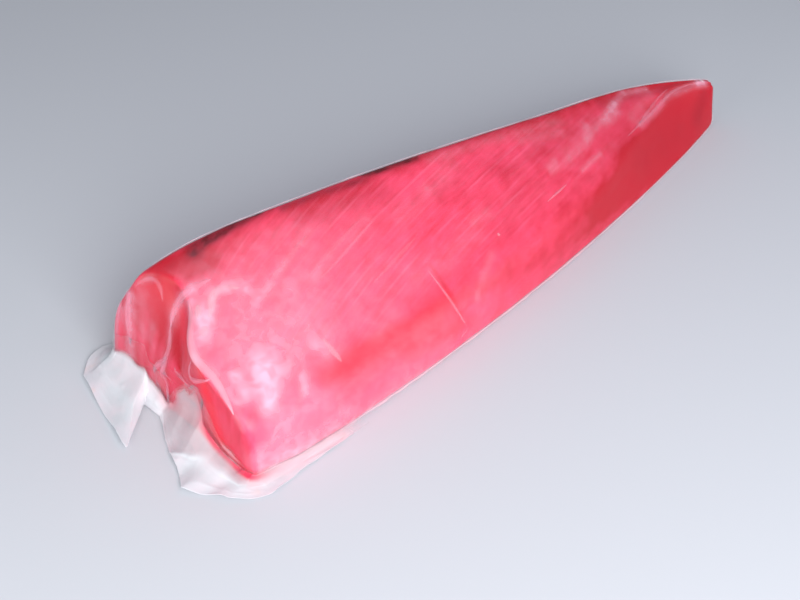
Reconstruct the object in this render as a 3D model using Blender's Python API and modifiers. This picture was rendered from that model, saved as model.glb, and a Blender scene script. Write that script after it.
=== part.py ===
"""A raw skinless tuna loin in a clear film bag, lying on its flat cut side.

The loin is one smooth tapered body: a thick head end with a leaning cut, a ridge along the back,
a soft shoulder in front that sharpens into a crease, and a blunt tail. The bag's tight part lies on
it without a gap. Its loose open end is a thin wavy skirt round the foot of the thick end.
X runs from the thick end to the tail, Y to the ridge side, Z up. All sizes are in metres.
"""

import bmesh
import bpy
import numpy as np

MM = 0.001

# Driving dimensions of the loin
LOIN_LENGTH = 0.503
HEAD_FRONT = 0.0675
HEAD_BACK = 0.076
TAIL_FRONT = 0.009
TAIL_BACK = 0.022
RIDGE_HEIGHT_HEAD = 0.0955
RIDGE_HEIGHT_TAIL = 0.040
RIDGE_HEAD_DROP = 0.012
RIDGE_SIDE_HEAD = 0.046
RIDGE_SIDE_TAIL = 0.006
RIDGE_SWING = 0.008
RIDGE_FLARE = 0.005
SHOULDER_HEIGHT = 0.040
SHOULDER_RISE = 0.003
SHOULDER_INSET = 0.003
SHOULDER_RETREAT = 0.020
TIP_SHOULDER = (0.007, 0.004)
FRONT_NARROWING = 0.005
TIP_NARROWING_FRONT = 0.15
TIP_NARROWING_BACK = 0.012

# Roundness of the section's corners and fullness of its sides, first at the tail, then where thick
FOOT_ROUND = (0.005, 0.008)
SHOULDER_ROUND = (0.004, 0.022)
RIDGE_ROUND = (0.006, 0.018)
FRONT_FOOT_FULL = (0.0, 0.002)
FRONT_SIDE_FULL = (0.0, 0.003)
MAIN_FACE_FULL = (0.001, 0.0035)
BACK_SIDE_FULL = (0.002, 0.009)
BACK_FOOT_FULL = (0.0, 0.0015)
HEAD_BACK_FULL = 0.003
CORNER_SHARE = 0.3

# Shares of the length at which the cage has a ring
STATIONS = (0.0, 0.022, 0.075, 0.15, 0.24, 0.34, 0.44, 0.54, 0.64, 0.73, 0.81, 0.88, 0.94, 0.98, 1.0)

# The cut at the thick end: how far it leans back for each unit of height, and its turn in plan
LEAN_FRONT = 0.05
LEAN_MIDDLE = 0.44
LEAN_BACK = 0.16
CUT_TURN = 0.09
CUT_MIDDLE = (0.008, 0.036)
CUT_BULGE = 0.002
TAIL_BULGE = 0.005

# The main face's lip over the cut: the section point that it lies on, and how far that stands out
# on the face and on the ring inside the cut
LIP_POINT = 7
LIP_FACE = 0.008
LIP_CUT = 0.004

# The loose film: wall, gap to the loin, bend at the corners, and how far it runs along the sides
FILM_WALL = 0.0012
FILM_CLEAR = 0.0036
FILM_FLOOR = 0.0009
FILM_LEAN_FRONT = 0.05
FILM_LEAN_BACK = 0.18
FILM_CORNER = 0.007
BACK_RUN = 0.045
FRONT_RUN = 0.085
FILM_STEPS = 58
FILM_ROWS = 8
FOLD_PITCH = 0.021
FOLD_HEIGHT = 0.0035
FOLD_FULL_REACH = 0.020

# Each row of the film: place across the end cut or along a side, climb up the cut, reach outward
# over the table, and slip along the edge toward the front corner
FILM_BACK_SIDE = ((0.0, 0.004, 0.003, 0.0), (0.45, 0.007, 0.006, 0.0), (1.0, 0.014, 0.011, 0.0))
FILM_END = (
    (0.00, 0.025, 0.016, -0.004),
    (0.26, 0.032, 0.034, 0.034),
    (0.34, 0.026, 0.004, 0.004),
    (0.45, 0.014, 0.003, 0.002),
    (0.56, 0.034, 0.013, 0.003),
    (0.67, 0.046, 0.020, 0.002),
    (0.79, 0.020, 0.028, 0.003),
    (1.00, 0.005, 0.015, 0.003),
)
FILM_FRONT_SIDE = ((0.0, 0.005, 0.010, 0.0), (0.35, 0.004, 0.006, 0.0), (1.0, 0.003, 0.0015, 0.0))


def smooth_step(low, high, value):
    """Rise from 0 at low to 1 at high with a level start and end."""
    share = np.clip((value - low) / (high - low), 0.0, 1.0)
    return share * share * (3.0 - 2.0 * share)


def front_edge(u):
    """Distance from the axis to the front bottom edge at the share u of the length."""
    taper = TAIL_FRONT + (HEAD_FRONT - TAIL_FRONT) * (1.0 - u**2.1)
    narrowing = FRONT_NARROWING * (1.0 - smooth_step(0.0, 0.1, u))
    return taper * (1.0 - TIP_NARROWING_FRONT * smooth_step(0.93, 1.0, u)) - narrowing


def back_edge(u):
    """Distance from the axis to the back bottom edge at the share u of the length."""
    taper = TAIL_BACK + (HEAD_BACK - TAIL_BACK) * (1.0 - u**2.2)
    return taper - TIP_NARROWING_BACK * smooth_step(0.88, 1.0, u)


def ridge_side(u):
    """Distance from the axis to the ridge, which swings out again before the tail."""
    swing = RIDGE_SWING * smooth_step(0.6, 0.85, u) * (1.0 - smooth_step(0.88, 1.0, u))
    flare = RIDGE_FLARE * (1.0 - smooth_step(0.0, 0.2, u))
    return RIDGE_SIDE_TAIL + (RIDGE_SIDE_HEAD - RIDGE_SIDE_TAIL) * (1.0 - u**1.3) + swing + flare


def ridge_height(u):
    """Height of the ridge, which drops a little toward the cut at the thick end."""
    drop = RIDGE_HEAD_DROP * (1.0 - smooth_step(-0.03, 0.11, u))
    return RIDGE_HEIGHT_TAIL + (RIDGE_HEIGHT_HEAD - RIDGE_HEIGHT_TAIL) * (1.0 - u**2.2) - drop


def at_softness(sizes, soft):
    """Size between the tail's crisp value at 0 and the thick part's full value at 1."""
    return sizes[0] + (sizes[1] - sizes[0]) * soft


def toward(start, end, distance):
    """Point on the way from start to end at a distance from start."""
    return start + (end - start) * (distance / np.linalg.norm(end - start))


def bulged(start, end, share, bulge):
    """Point on the way from start to end, pushed out to the left of that way."""
    way = end - start
    side = np.array((-way[1], way[0])) / np.linalg.norm(way)
    return start + way * share + side * bulge


def section(u):
    """Cage points (y, z) round the section: base, front foot, shoulder, ridge, back foot."""
    soft = 1.0 - smooth_step(0.45, 0.9, u)
    to_tip = smooth_step(0.86, 1.0, u)
    front = np.array((-front_edge(u), 0.0))
    back = np.array((back_edge(u), 0.0))
    ridge = np.array((ridge_side(u), ridge_height(u)))
    inset = SHOULDER_INSET + SHOULDER_RETREAT * smooth_step(0.55, 0.86, u)
    height = SHOULDER_HEIGHT + SHOULDER_RISE * (1.0 - smooth_step(0.0, 0.4, u))
    shoulder = np.array((front[0] + inset, height))
    shoulder = shoulder + (ridge - np.array(TIP_SHOULDER) - shoulder) * to_tip
    crest = np.linalg.norm(ridge - shoulder)
    shoulder_round = min(at_softness(SHOULDER_ROUND, soft), CORNER_SHARE * crest)
    ridge_round = min(at_softness(RIDGE_ROUND, soft), CORNER_SHARE * crest)
    face_front = toward(shoulder, ridge, shoulder_round)
    face_top = toward(ridge, shoulder, ridge_round)
    face_full = at_softness(MAIN_FACE_FULL, soft)
    back_full = at_softness(BACK_SIDE_FULL, soft) + HEAD_BACK_FULL * (1.0 - smooth_step(0.0, 0.2, u))
    foot = at_softness(FOOT_ROUND, soft)
    return np.array(
        (
            (front + back) / 2,
            toward(front, back, foot),
            front,
            toward(front, shoulder, foot) - (at_softness(FRONT_FOOT_FULL, soft), 0.0),
            toward(shoulder, front, 0.8 * shoulder_round) - (at_softness(FRONT_SIDE_FULL, soft), 0.0),
            shoulder,
            face_front,
            bulged(face_front, face_top, 0.46, face_full),
            bulged(face_front, face_top, 0.64, face_full),
            face_top,
            ridge,
            toward(ridge, back, ridge_round),
            bulged(ridge, back, 0.5, back_full),
            toward(back, ridge, foot) + (at_softness(BACK_FOOT_FULL, soft), 0.0),
            back,
            toward(back, front, foot),
        )
    )


def end_lean(y):
    """Lean of the end cut: nearly upright in front, most under the main face, less at the back."""
    rise = (LEAN_MIDDLE - LEAN_FRONT) * smooth_step(-20 * MM, 26 * MM, y)
    fall = (LEAN_MIDDLE - LEAN_BACK) * smooth_step(30 * MM, 56 * MM, y)
    return LEAN_FRONT + rise - fall


def end_cut_x(y, z):
    """X of the end cut at a place across it and a height."""
    return -CUT_TURN * (y - 7 * MM) + end_lean(y) * z


def cut_ring(rim, share, bulge, lip):
    """Ring inside the end cut, drawn from the rim toward the cut's middle."""
    middle = np.array(CUT_MIDDLE)
    yz = middle + (rim[:, 1:] - middle) * share
    x = end_cut_x(yz[:, 0], yz[:, 1]) - bulge
    x[LIP_POINT] -= lip
    return np.column_stack((x, yz))


def tail_ring(rim, share, push):
    """Ring inside the tail's blunt tip, drawn toward its middle and pushed out."""
    middle = rim[:, 1:].mean(axis=0)
    yz = middle + (rim[:, 1:] - middle) * share
    return np.column_stack((np.full(len(yz), rim[:, 0].max() + push), yz))


def loin_rings():
    """Cage rings from the middle of the end cut to the middle of the tail's tip."""
    body = []
    for u in STATIONS:
        yz = section(u)
        set_back = end_cut_x(yz[:, 0], yz[:, 1])
        set_back[LIP_POINT] -= LIP_FACE
        body.append(np.column_stack((u * LOIN_LENGTH + set_back * (1.0 - u) ** 6, yz)))
    cut = [cut_ring(body[0], 0.5, CUT_BULGE, 0.0), cut_ring(body[0], 0.88, 0.0, LIP_CUT)]
    tail = [tail_ring(body[-1], 0.82, 0.6 * TAIL_BULGE), tail_ring(body[-1], 0.4, TAIL_BULGE)]
    return cut + body + tail


def rings_mesh(name, rings):
    """Closed quad cage through the rings, with a fan of triangles over each end."""
    mesh = bpy.data.meshes.new(name)
    cage = bmesh.new()
    rows = [[cage.verts.new(point) for point in ring] for ring in rings]
    count = len(rows[0])
    for lower, upper in zip(rows, rows[1:]):
        for i in range(count):
            j = (i + 1) % count
            cage.faces.new((lower[i], lower[j], upper[j], upper[i]))
    for row, ring in ((rows[0], rings[0]), (rows[-1], rings[-1])):
        pole = cage.verts.new(ring.mean(axis=0))
        for i in range(count):
            cage.faces.new((row[i], row[(i + 1) % count], pole))
    bmesh.ops.recalc_face_normals(cage, faces=cage.faces)
    cage.to_mesh(mesh)
    cage.free()
    return mesh


def film_path():
    """Foot line of the loose film: plan points with outward directions, and its rows.

    The line runs along the back side to the thick end, across the end cut and along the front
    side, with a round bend at both corners.
    """
    back_corner = np.array((end_cut_x(HEAD_BACK, 0.0) - FILM_CLEAR, HEAD_BACK + FILM_CLEAR))
    front_y = -front_edge(0.0) - FILM_CLEAR
    front_corner = np.array((end_cut_x(front_y, 0.0) - FILM_CLEAR, front_y))
    front_far = np.array((FRONT_RUN, -front_edge(FRONT_RUN / LOIN_LENGTH) - FILM_CLEAR))
    back_far = np.array((BACK_RUN, back_edge(BACK_RUN / LOIN_LENGTH) + FILM_CLEAR))
    legs = (
        (back_far, back_corner, FILM_BACK_SIDE, 0.0, FILM_CORNER),
        (back_corner, front_corner, FILM_END, FILM_CORNER, FILM_CORNER),
        (front_corner, front_far, FILM_FRONT_SIDE, FILM_CORNER, 0.0),
    )
    stations = []
    run = 0.0
    for start, end, rows, bend_before, bend_after in legs:
        length = np.linalg.norm(end - start)
        way = (end - start) / length
        outward = (way[1], -way[0])
        for share, climb, reach, slip in rows:
            along = np.clip(share * length, bend_before, length - bend_after)
            stations.append((run + along, *(start + way * along), *outward, *way, climb, reach, slip))
        run += length
    return np.array(stations)


def film_sheet():
    """Grid of points over the loose film: a bent sheet from the cut's face out onto the table."""
    stations = film_path()
    arc = np.linspace(stations[0, 0], stations[-1, 0], FILM_STEPS)
    columns = [np.interp(arc, stations[:, 0], column) for column in stations.T[1:]]
    foot = np.column_stack(columns[0:2])
    outward = np.column_stack(columns[2:4])
    outward /= np.linalg.norm(outward, axis=1)[:, None]
    way = np.column_stack(columns[4:6])
    climb, reach, slip = columns[6:]
    on_end = np.clip(-outward[:, 0], 0.0, 1.0) ** 4
    lean = FILM_LEAN_FRONT + (FILM_LEAN_BACK - FILM_LEAN_FRONT) * smooth_step(-20 * MM, 10 * MM, foot[:, 1])
    top = np.column_stack((foot[:, 0] + lean * climb * on_end, foot[:, 1], climb + FILM_FLOOR))
    root = np.column_stack((foot, np.full(FILM_STEPS, FILM_FLOOR)))
    edge_plan = foot + outward * reach[:, None] + way * slip[:, None]
    edge = np.column_stack((edge_plan, np.full(FILM_STEPS, FILM_FLOOR)))
    grid = []
    for t in np.linspace(0.0, 1.0, FILM_ROWS):
        row = (1.0 - t) ** 2 * top + 2.0 * t * (1.0 - t) * root + t**2 * edge
        fold = 0.5 - 0.5 * np.cos(2.0 * np.pi * arc / FOLD_PITCH + 2.0 * t)
        row[:, 2] += FOLD_HEIGHT * t**1.5 * fold * np.clip(reach / FOLD_FULL_REACH, 0.0, 1.0)
        grid.append(row)
    return np.array(grid)


def sheet_mesh(name, grid):
    """Open sheet of triangles through a grid of points."""
    mesh = bpy.data.meshes.new(name)
    sheet = bmesh.new()
    rows = [[sheet.verts.new(point) for point in row] for row in grid]
    for lower, upper in zip(rows, rows[1:]):
        for i in range(len(lower) - 1):
            sheet.faces.new((lower[i], lower[i + 1], upper[i + 1]))
            sheet.faces.new((lower[i], upper[i + 1], upper[i]))
    sheet.to_mesh(mesh)
    sheet.free()
    return mesh


def principled(name, colour, roughness, alpha=1.0):
    """Plain material of one colour."""
    material = bpy.data.materials.new(name)
    material.use_nodes = True
    shader = material.node_tree.nodes["Principled BSDF"]
    shader.inputs["Base Color"].default_value = (*colour, 1.0)
    shader.inputs["Roughness"].default_value = roughness
    shader.inputs["Alpha"].default_value = alpha
    return material


def add_object(name, mesh, material, collection, parent):
    """Object of a mesh in the part's collection, shaded smooth."""
    thing = bpy.data.objects.new(name, mesh)
    mesh.materials.append(material)
    mesh.shade_smooth()
    collection.objects.link(thing)
    thing.parent = parent
    return thing


def make_loin(collection, parent):
    """The loin: a coarse cage of rings made smooth by subdivision."""
    flesh = principled("raw tuna flesh under film", (0.72, 0.07, 0.11), 0.3)
    loin = add_object("tuna_loin", rings_mesh("tuna_loin", loin_rings()), flesh, collection, parent)
    smooth = loin.modifiers.new("smooth body", "SUBSURF")
    smooth.levels = 2
    smooth.render_levels = 2
    return loin


def make_film(collection, parent):
    """The bag's loose open end: a folded sheet with a thin wall."""
    film = principled("milky bag film", (0.75, 0.75, 0.80), 0.3)
    skirt = add_object("film_skirt", sheet_mesh("film_skirt", film_sheet()), film, collection, parent)
    wall = skirt.modifiers.new("film wall", "SOLIDIFY")
    wall.thickness = FILM_WALL
    wall.offset = 0.0
    return skirt


def stand_on_origin(parts, parent):
    """Move the parent so that the middle of the parts' common base is at the world's origin."""
    bpy.context.view_layer.update()
    graph = bpy.context.evaluated_depsgraph_get()
    corners = []
    for part in parts:
        shape = part.evaluated_get(graph)
        corners += [shape.matrix_world @ vertex.co for vertex in shape.data.vertices]
    corners = np.array(corners)
    low, high = corners.min(axis=0), corners.max(axis=0)
    parent.location = (-(low[0] + high[0]) / 2, -(low[1] + high[1]) / 2, -low[2])


def main():
    """Build the loin and its loose film on an empty scene."""
    for thing in list(bpy.data.objects):
        bpy.data.objects.remove(thing, do_unlink=True)
    collection = bpy.data.collections.new("raw_tuna_loin")
    bpy.context.scene.collection.children.link(collection)
    parent = bpy.data.objects.new("rest_point", None)
    collection.objects.link(parent)
    parts = [make_loin(collection, parent), make_film(collection, parent)]
    stand_on_origin(parts, parent)


main()
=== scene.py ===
"""Looks of a raw tuna loin in a clear film bag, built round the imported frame.

The flesh, the tight film on it, the film's folds and seams, and the loose film round the thick end
are surfaces worked out with numpy from the sizes of the solids. Lengths are in metres. In the
loin's own frame X runs from the thick end to the tail, Y to the ridge side, and Z up.
"""

import logging
from dataclasses import dataclass
from enum import Enum, IntEnum

import bpy
import numpy as np
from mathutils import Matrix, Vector


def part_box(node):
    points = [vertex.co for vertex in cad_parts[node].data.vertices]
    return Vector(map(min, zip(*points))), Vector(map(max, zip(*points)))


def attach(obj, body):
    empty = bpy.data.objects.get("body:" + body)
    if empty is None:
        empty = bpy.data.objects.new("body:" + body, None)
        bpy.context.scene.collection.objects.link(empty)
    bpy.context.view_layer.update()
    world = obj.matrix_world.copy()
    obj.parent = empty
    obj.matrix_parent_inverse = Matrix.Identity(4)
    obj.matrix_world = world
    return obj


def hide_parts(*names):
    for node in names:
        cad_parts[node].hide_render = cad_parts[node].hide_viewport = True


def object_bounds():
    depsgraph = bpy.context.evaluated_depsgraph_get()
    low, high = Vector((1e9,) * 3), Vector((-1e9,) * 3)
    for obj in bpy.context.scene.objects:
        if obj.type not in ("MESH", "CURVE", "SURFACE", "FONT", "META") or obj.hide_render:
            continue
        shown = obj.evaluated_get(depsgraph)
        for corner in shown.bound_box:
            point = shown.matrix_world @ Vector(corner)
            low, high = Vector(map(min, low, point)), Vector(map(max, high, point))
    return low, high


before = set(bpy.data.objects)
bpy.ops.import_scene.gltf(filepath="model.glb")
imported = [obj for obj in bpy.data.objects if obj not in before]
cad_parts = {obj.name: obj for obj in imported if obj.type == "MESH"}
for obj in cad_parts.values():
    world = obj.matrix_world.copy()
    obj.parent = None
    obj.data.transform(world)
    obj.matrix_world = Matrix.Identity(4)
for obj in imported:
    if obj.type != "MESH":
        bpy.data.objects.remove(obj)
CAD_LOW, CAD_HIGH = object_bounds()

LOG = logging.getLogger("tuna_loin")
Array = np.ndarray
Pixel = tuple[float, float]
Range = tuple[float, float]
Sizes = tuple[float, float, float]
Tree = bpy.types.ShaderNodeTree
Socket = bpy.types.NodeSocket
ShaderNode = bpy.types.Node
Object = bpy.types.Object
MM = 0.001
BODY = "root"
TINY = 1e-12
NOISE_TABLE = 4096
VIEW_POINT = (0.172, 0.0, 0.0)
NOISE_PRIMES = (73856093, 19349663, 83492791)


class Slot(Enum):
    """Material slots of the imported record."""

    FLESH = "tuna_flesh"
    FILM = "bag_film"


class Node(Enum):
    """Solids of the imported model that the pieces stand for."""

    LOIN = "tuna_loin"
    SKIRT = "film_skirt"


class Seed(IntEnum):
    """Seeds of the noises, one for each use."""

    DENT = 3
    FLAKE_BEND = 5
    CUT_STRIPE = 8
    BACK_MUSCLE = 11
    LONG_WRINKLE = 21
    CROSS_WRINKLE = 22
    CLOUD = 24
    WISP = 25
    FOOT = 26
    SEAM = 33
    FOLD = 34
    OUTER_EDGE = 41
    FINE_EDGE = 42
    TOP_EDGE = 43
    CRUMPLE = 44
    FINE_CRUMPLE = 45
    BLOTCH = 46
    HEM = 47


def smooth_step(low: float, high: float, value: Array | float) -> Array:
    """Rise from 0 at low to 1 at high with a level start and end.

    Args:
        low: Where the rise starts.
        high: Where it ends.
        value: Places to evaluate.

    Returns:
        The share of the rise at each place.
    """
    share = np.clip((np.asarray(value, float) - low) / (high - low), 0.0, 1.0)
    return share * share * (3.0 - 2.0 * share)


def smooth_fall(low: float, high: float, value: Array | float) -> Array:
    """Fall from 1 at low to 0 at high, with a level start and end."""
    return 1.0 - smooth_step(low, high, value)


def smooth_band(rise: Range, fall: Range, value: Array) -> Array:
    """Rise from 0 to 1 over one range and fall back to 0 over another."""
    return smooth_step(*rise, value) * smooth_fall(*fall, value)


def dropped(value: float, drops: tuple[Sizes, ...], place: Array) -> Array:
    """Value less several drops, each with a level start and end.

    Args:
        value: Value before the first drop.
        drops: Start, end and depth of each drop, with a negative depth for a rise.
        place: Places to evaluate.

    Returns:
        The value at each place.
    """
    for low, high, depth in drops:
        value = value - depth * smooth_step(low, high, place)
    return value


def bell(distance: Array, half_width: float) -> Array:
    """Bell curve: the exponential of minus the square of the distance over the half width."""
    return np.exp(-((distance / half_width) ** 2))


def unit(vectors: Array) -> Array:
    """Vectors divided by their lengths."""
    return vectors / np.linalg.norm(vectors, axis=-1, keepdims=True)


def arc_lengths(line: Array) -> Array:
    """Distance along a line from its first point to each of its points."""
    return np.concatenate(([0.0], np.cumsum(np.linalg.norm(np.diff(line, axis=0), axis=1))))


def spline_at(control: Array, places: Array, closed: bool, axis: int = 0) -> Array:
    """Uniform cubic B-spline: each point is a weighted sum of four neighbouring control points.

    Args:
        control: Control values.
        places: Parameters, one unit a span, 0 between the first and the third control point.
        closed: Whether the control points run round in a loop.
        axis: Axis of the control values along which the spline runs.

    Returns:
        The spline's values, with the places along the same axis.
    """
    values = np.moveaxis(np.asarray(control, float), axis, 0)
    count = len(values)
    spans = count if closed else count - 3
    places = np.asarray(places, float)
    start = np.clip(np.floor(places).astype(int), 0, spans - 1)
    share = (places - start).reshape((-1,) + (1,) * (values.ndim - 1))
    weights = (
        (1.0 - share) ** 3 / 6.0,
        (3.0 * share**3 - 6.0 * share**2 + 4.0) / 6.0,
        (-3.0 * share**3 + 3.0 * share**2 + 3.0 * share + 1.0) / 6.0,
        share**3 / 6.0,
    )
    total = sum(weight * values[(start + k) % count] for k, weight in enumerate(weights))
    return np.moveaxis(total, 0, axis)


def lattice_noise(points: Array, cell: float | Sizes, seed: int) -> Array:
    """Smooth noise: random values at the corners of a lattice, blended with smooth steps.

    Args:
        points: Points of three coordinates.
        cell: Size of a lattice cell, one number or one for each axis.
        seed: Seed of the random values.

    Returns:
        A value from -1 to 1 at each point.
    """
    table = np.random.default_rng(seed).uniform(-1.0, 1.0, NOISE_TABLE)
    scaled = np.asarray(points, float) / np.asarray(cell, float)
    base = np.floor(scaled).astype(np.int64)
    share = smooth_step(0.0, 1.0, scaled - base)
    total = np.zeros(scaled.shape[:-1])
    for corner in np.ndindex(2, 2, 2):
        key = np.bitwise_xor.reduce((base + np.array(corner)) * NOISE_PRIMES, axis=-1)
        weight = np.prod(np.where(np.array(corner) == 1, share, 1.0 - share), axis=-1)
        total += weight * table[key & (NOISE_TABLE - 1)]
    return total


def share_noise(points: Array, cell: float | Sizes, seed: int) -> Array:
    """Smooth noise from 0 to 1."""
    return 0.5 + 0.5 * lattice_noise(points, cell, seed)


def crests(points: Array, cell: float, seed: int) -> Array:
    """Creases: the square of one less the size of a noise, so 1 on its zero lines."""
    return (1.0 - np.abs(lattice_noise(points, cell, seed))) ** 2


def distance_to_line(points: Array, line: Array) -> Array:
    """Distance from points to a chain of straight segments, or to its one point.

    Args:
        points: Points of three coordinates.
        line: Corners of the chain.

    Returns:
        The least distance at each point.
    """
    if len(line) == 1:
        return np.linalg.norm(points - line[0], axis=-1)
    least = np.full(points.shape[:-1], np.inf)
    for start, end in zip(line[:-1], line[1:]):
        way = end - start
        share = np.clip(((points - start) @ way) / max(way @ way, TINY), 0.0, 1.0)
        least = np.minimum(least, np.linalg.norm(points - start - share[..., None] * way, axis=-1))
    return least


def linear_colour(code: str) -> tuple[float, float, float, float]:
    """Linear colour of an sRGB hex code.

    Args:
        code: Six hex digits after a hash sign.

    Returns:
        Red, green, blue and an alpha of one.
    """
    parts = [int(code[k : k + 2], 16) / 255.0 for k in (1, 3, 5)]
    linear = [p / 12.92 if p <= 0.04045 else ((p + 0.055) / 1.055) ** 2.4 for p in parts]
    return (*linear, 1.0)


@dataclass(frozen=True)
class LoinForm:
    """Form of the loin: a cage of rings, with the solid's sizes, made smooth as a bicubic spline."""

    length: float = 0.503
    head_front: float = 0.0675
    head_back: float = 0.076
    tail_front: float = 0.009
    tail_back: float = 0.022
    ridge_height_head: float = 0.0955
    ridge_height_tail: float = 0.04
    ridge_head_drop: float = 0.012
    ridge_side_head: float = 0.046
    ridge_side_tail: float = 0.006
    ridge_swing: float = 0.008
    ridge_flare: float = 0.005
    shoulder_height: float = 0.04
    shoulder_rise: float = 0.003
    shoulder_inset: float = 0.003
    shoulder_retreat: float = 0.02
    tip_shoulder: Range = (0.007, 0.004)
    front_narrowing: float = 0.005
    tip_narrowing_front: float = 0.15
    tip_narrowing_back: float = 0.012
    foot_round: Range = (0.005, 0.008)
    shoulder_round: Range = (0.004, 0.022)
    ridge_round: Range = (0.006, 0.018)
    front_foot_full: Range = (0.0, 0.002)
    front_side_full: Range = (0.0, 0.003)
    main_face_full: Range = (0.001, 0.0035)
    back_side_full: Range = (0.002, 0.009)
    back_foot_full: Range = (0.0, 0.0015)
    head_back_full: float = 0.003
    corner_share: float = 0.3
    stations: tuple[float, ...] = (
        0.0, 0.022, 0.075, 0.15, 0.24, 0.34, 0.44, 0.54, 0.64, 0.73, 0.81, 0.88, 0.94, 0.98, 1.0,
    )
    lean_front: float = 0.05
    lean_middle: float = 0.44
    lean_back: float = 0.16
    cut_turn: float = 0.09
    cut_middle: Range = (0.008, 0.036)
    cut_bulge: float = 0.002
    tail_bulge: float = 0.005
    lip_point: int = 7
    lip_face: float = 0.008
    lip_cut: float = 0.004
    ring_points: int = 16
    front_taper: float = 2.1
    back_taper: float = 2.2
    ridge_taper: Range = (1.3, 2.2)
    cut_fade: int = 6
    narrowing_span: Range = (0.0, 0.1)
    tip_span_front: Range = (0.93, 1.0)
    tip_span_back: Range = (0.88, 1.0)
    swing_spans: tuple[Range, Range] = ((0.6, 0.85), (0.88, 1.0))
    head_span: Range = (0.0, 0.2)
    drop_span: Range = (-0.03, 0.11)
    soft_span: Range = (0.45, 0.9)
    tip_span: Range = (0.86, 1.0)
    retreat_span: Range = (0.55, 0.86)
    rise_span: Range = (0.0, 0.4)
    shoulder_lead: float = 0.8
    face_shares: Range = (0.46, 0.64)
    lean_rise: Range = (-20 * MM, 26 * MM)
    lean_fall: Range = (30 * MM, 56 * MM)
    turn_centre: float = 7 * MM
    cut_rings: Range = (0.5, 0.88)
    tail_rings: tuple[Range, ...] = ((0.82, 0.6), (0.4, 1.0))

    def front_edge(self, u: Array | float) -> Array:
        """Distance from the axis to the front bottom edge.

        Args:
            u: Share of the length, 0 at the thick end.

        Returns:
            The distance at each share.
        """
        thick = self.head_front - self.tail_front
        taper = self.tail_front + thick * (1.0 - np.asarray(u) ** self.front_taper)
        tip = self.tip_narrowing_front * smooth_step(*self.tip_span_front, u)
        narrowing = self.front_narrowing * smooth_fall(*self.narrowing_span, u)
        return taper * (1.0 - tip) - narrowing

    def back_edge(self, u: Array | float) -> Array:
        """Distance from the axis to the back bottom edge.

        Args:
            u: Share of the length, 0 at the thick end.

        Returns:
            The distance at each share.
        """
        thick = self.head_back - self.tail_back
        taper = self.tail_back + thick * (1.0 - np.asarray(u) ** self.back_taper)
        return taper - self.tip_narrowing_back * smooth_step(*self.tip_span_back, u)

    def ridge(self, u: float) -> Array:
        """Place (y, z) of the ridge at the share u of the length.

        Args:
            u: Share of the length, 0 at the thick end.

        Returns:
            Distance from the axis and height.
        """
        side_taper, height_taper = self.ridge_taper
        swing = self.ridge_swing * smooth_band(*self.swing_spans, u)
        flare = self.ridge_flare * smooth_fall(*self.head_span, u)
        inward = (self.ridge_side_head - self.ridge_side_tail) * (1.0 - u**side_taper)
        side = self.ridge_side_tail + inward
        drop = self.ridge_head_drop * smooth_fall(*self.drop_span, u)
        rise = (self.ridge_height_head - self.ridge_height_tail) * (1.0 - u**height_taper)
        return np.array((side + swing + flare, self.ridge_height_tail + rise - drop))

    def section(self, u: float) -> Array:
        """Cage points (y, z) round the section: base, front foot, shoulder, ridge, back foot.

        Args:
            u: Share of the length, 0 at the thick end.

        Returns:
            The sixteen points, the first in the middle of the base.
        """
        soft = float(smooth_fall(*self.soft_span, u))
        to_tip = smooth_step(*self.tip_span, u)

        def sized(sizes: Range) -> float:
            """Size between its value at the tail and its value where the loin is thick."""
            return sizes[0] + (sizes[1] - sizes[0]) * soft

        def toward(start: Array, end: Array, distance: float) -> Array:
            """Point on the way from start to end at a distance from start."""
            return start + (end - start) * (distance / np.linalg.norm(end - start))

        def bulged(start: Array, end: Array, share: float, bulge: float) -> Array:
            """Point on the way from start to end, pushed out to the left of that way."""
            way = end - start
            return start + way * share + np.array((-way[1], way[0])) / np.linalg.norm(way) * bulge

        front = np.array((-self.front_edge(u), 0.0))
        back = np.array((self.back_edge(u), 0.0))
        ridge = self.ridge(u)
        inset = self.shoulder_inset + self.shoulder_retreat * smooth_step(*self.retreat_span, u)
        height = self.shoulder_height + self.shoulder_rise * smooth_fall(*self.rise_span, u)
        shoulder = np.array((front[0] + inset, height))
        shoulder = shoulder + (ridge - np.array(self.tip_shoulder) - shoulder) * to_tip
        crest = self.corner_share * np.linalg.norm(ridge - shoulder)
        shoulder_round = min(sized(self.shoulder_round), crest)
        ridge_round = min(sized(self.ridge_round), crest)
        head_full = self.head_back_full * smooth_fall(*self.head_span, u)
        back_full = sized(self.back_side_full) + head_full
        face_front = toward(shoulder, ridge, shoulder_round)
        face_top = toward(ridge, shoulder, ridge_round)
        face_full = sized(self.main_face_full)
        foot = sized(self.foot_round)
        lead = self.shoulder_lead * shoulder_round
        return np.array(
            (
                (front + back) / 2,
                toward(front, back, foot),
                front,
                toward(front, shoulder, foot) - (sized(self.front_foot_full), 0.0),
                toward(shoulder, front, lead) - (sized(self.front_side_full), 0.0),
                shoulder,
                face_front,
                bulged(face_front, face_top, self.face_shares[0], face_full),
                bulged(face_front, face_top, self.face_shares[1], face_full),
                face_top,
                ridge,
                toward(ridge, back, ridge_round),
                bulged(ridge, back, 0.5, back_full),
                toward(back, ridge, foot) + (sized(self.back_foot_full), 0.0),
                back,
                toward(back, front, foot),
            )
        )

    def end_cut_x(self, y: Array | float, z: Array | float) -> Array:
        """X of the end cut: it leans back with height, most under the main face, and turns in plan.

        Args:
            y: Places across the cut.
            z: Heights on it.

        Returns:
            The distance along the loin.
        """
        rise = (self.lean_middle - self.lean_front) * smooth_step(*self.lean_rise, y)
        fall = (self.lean_middle - self.lean_back) * smooth_step(*self.lean_fall, y)
        return -self.cut_turn * (y - self.turn_centre) + (self.lean_front + rise - fall) * z

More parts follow.
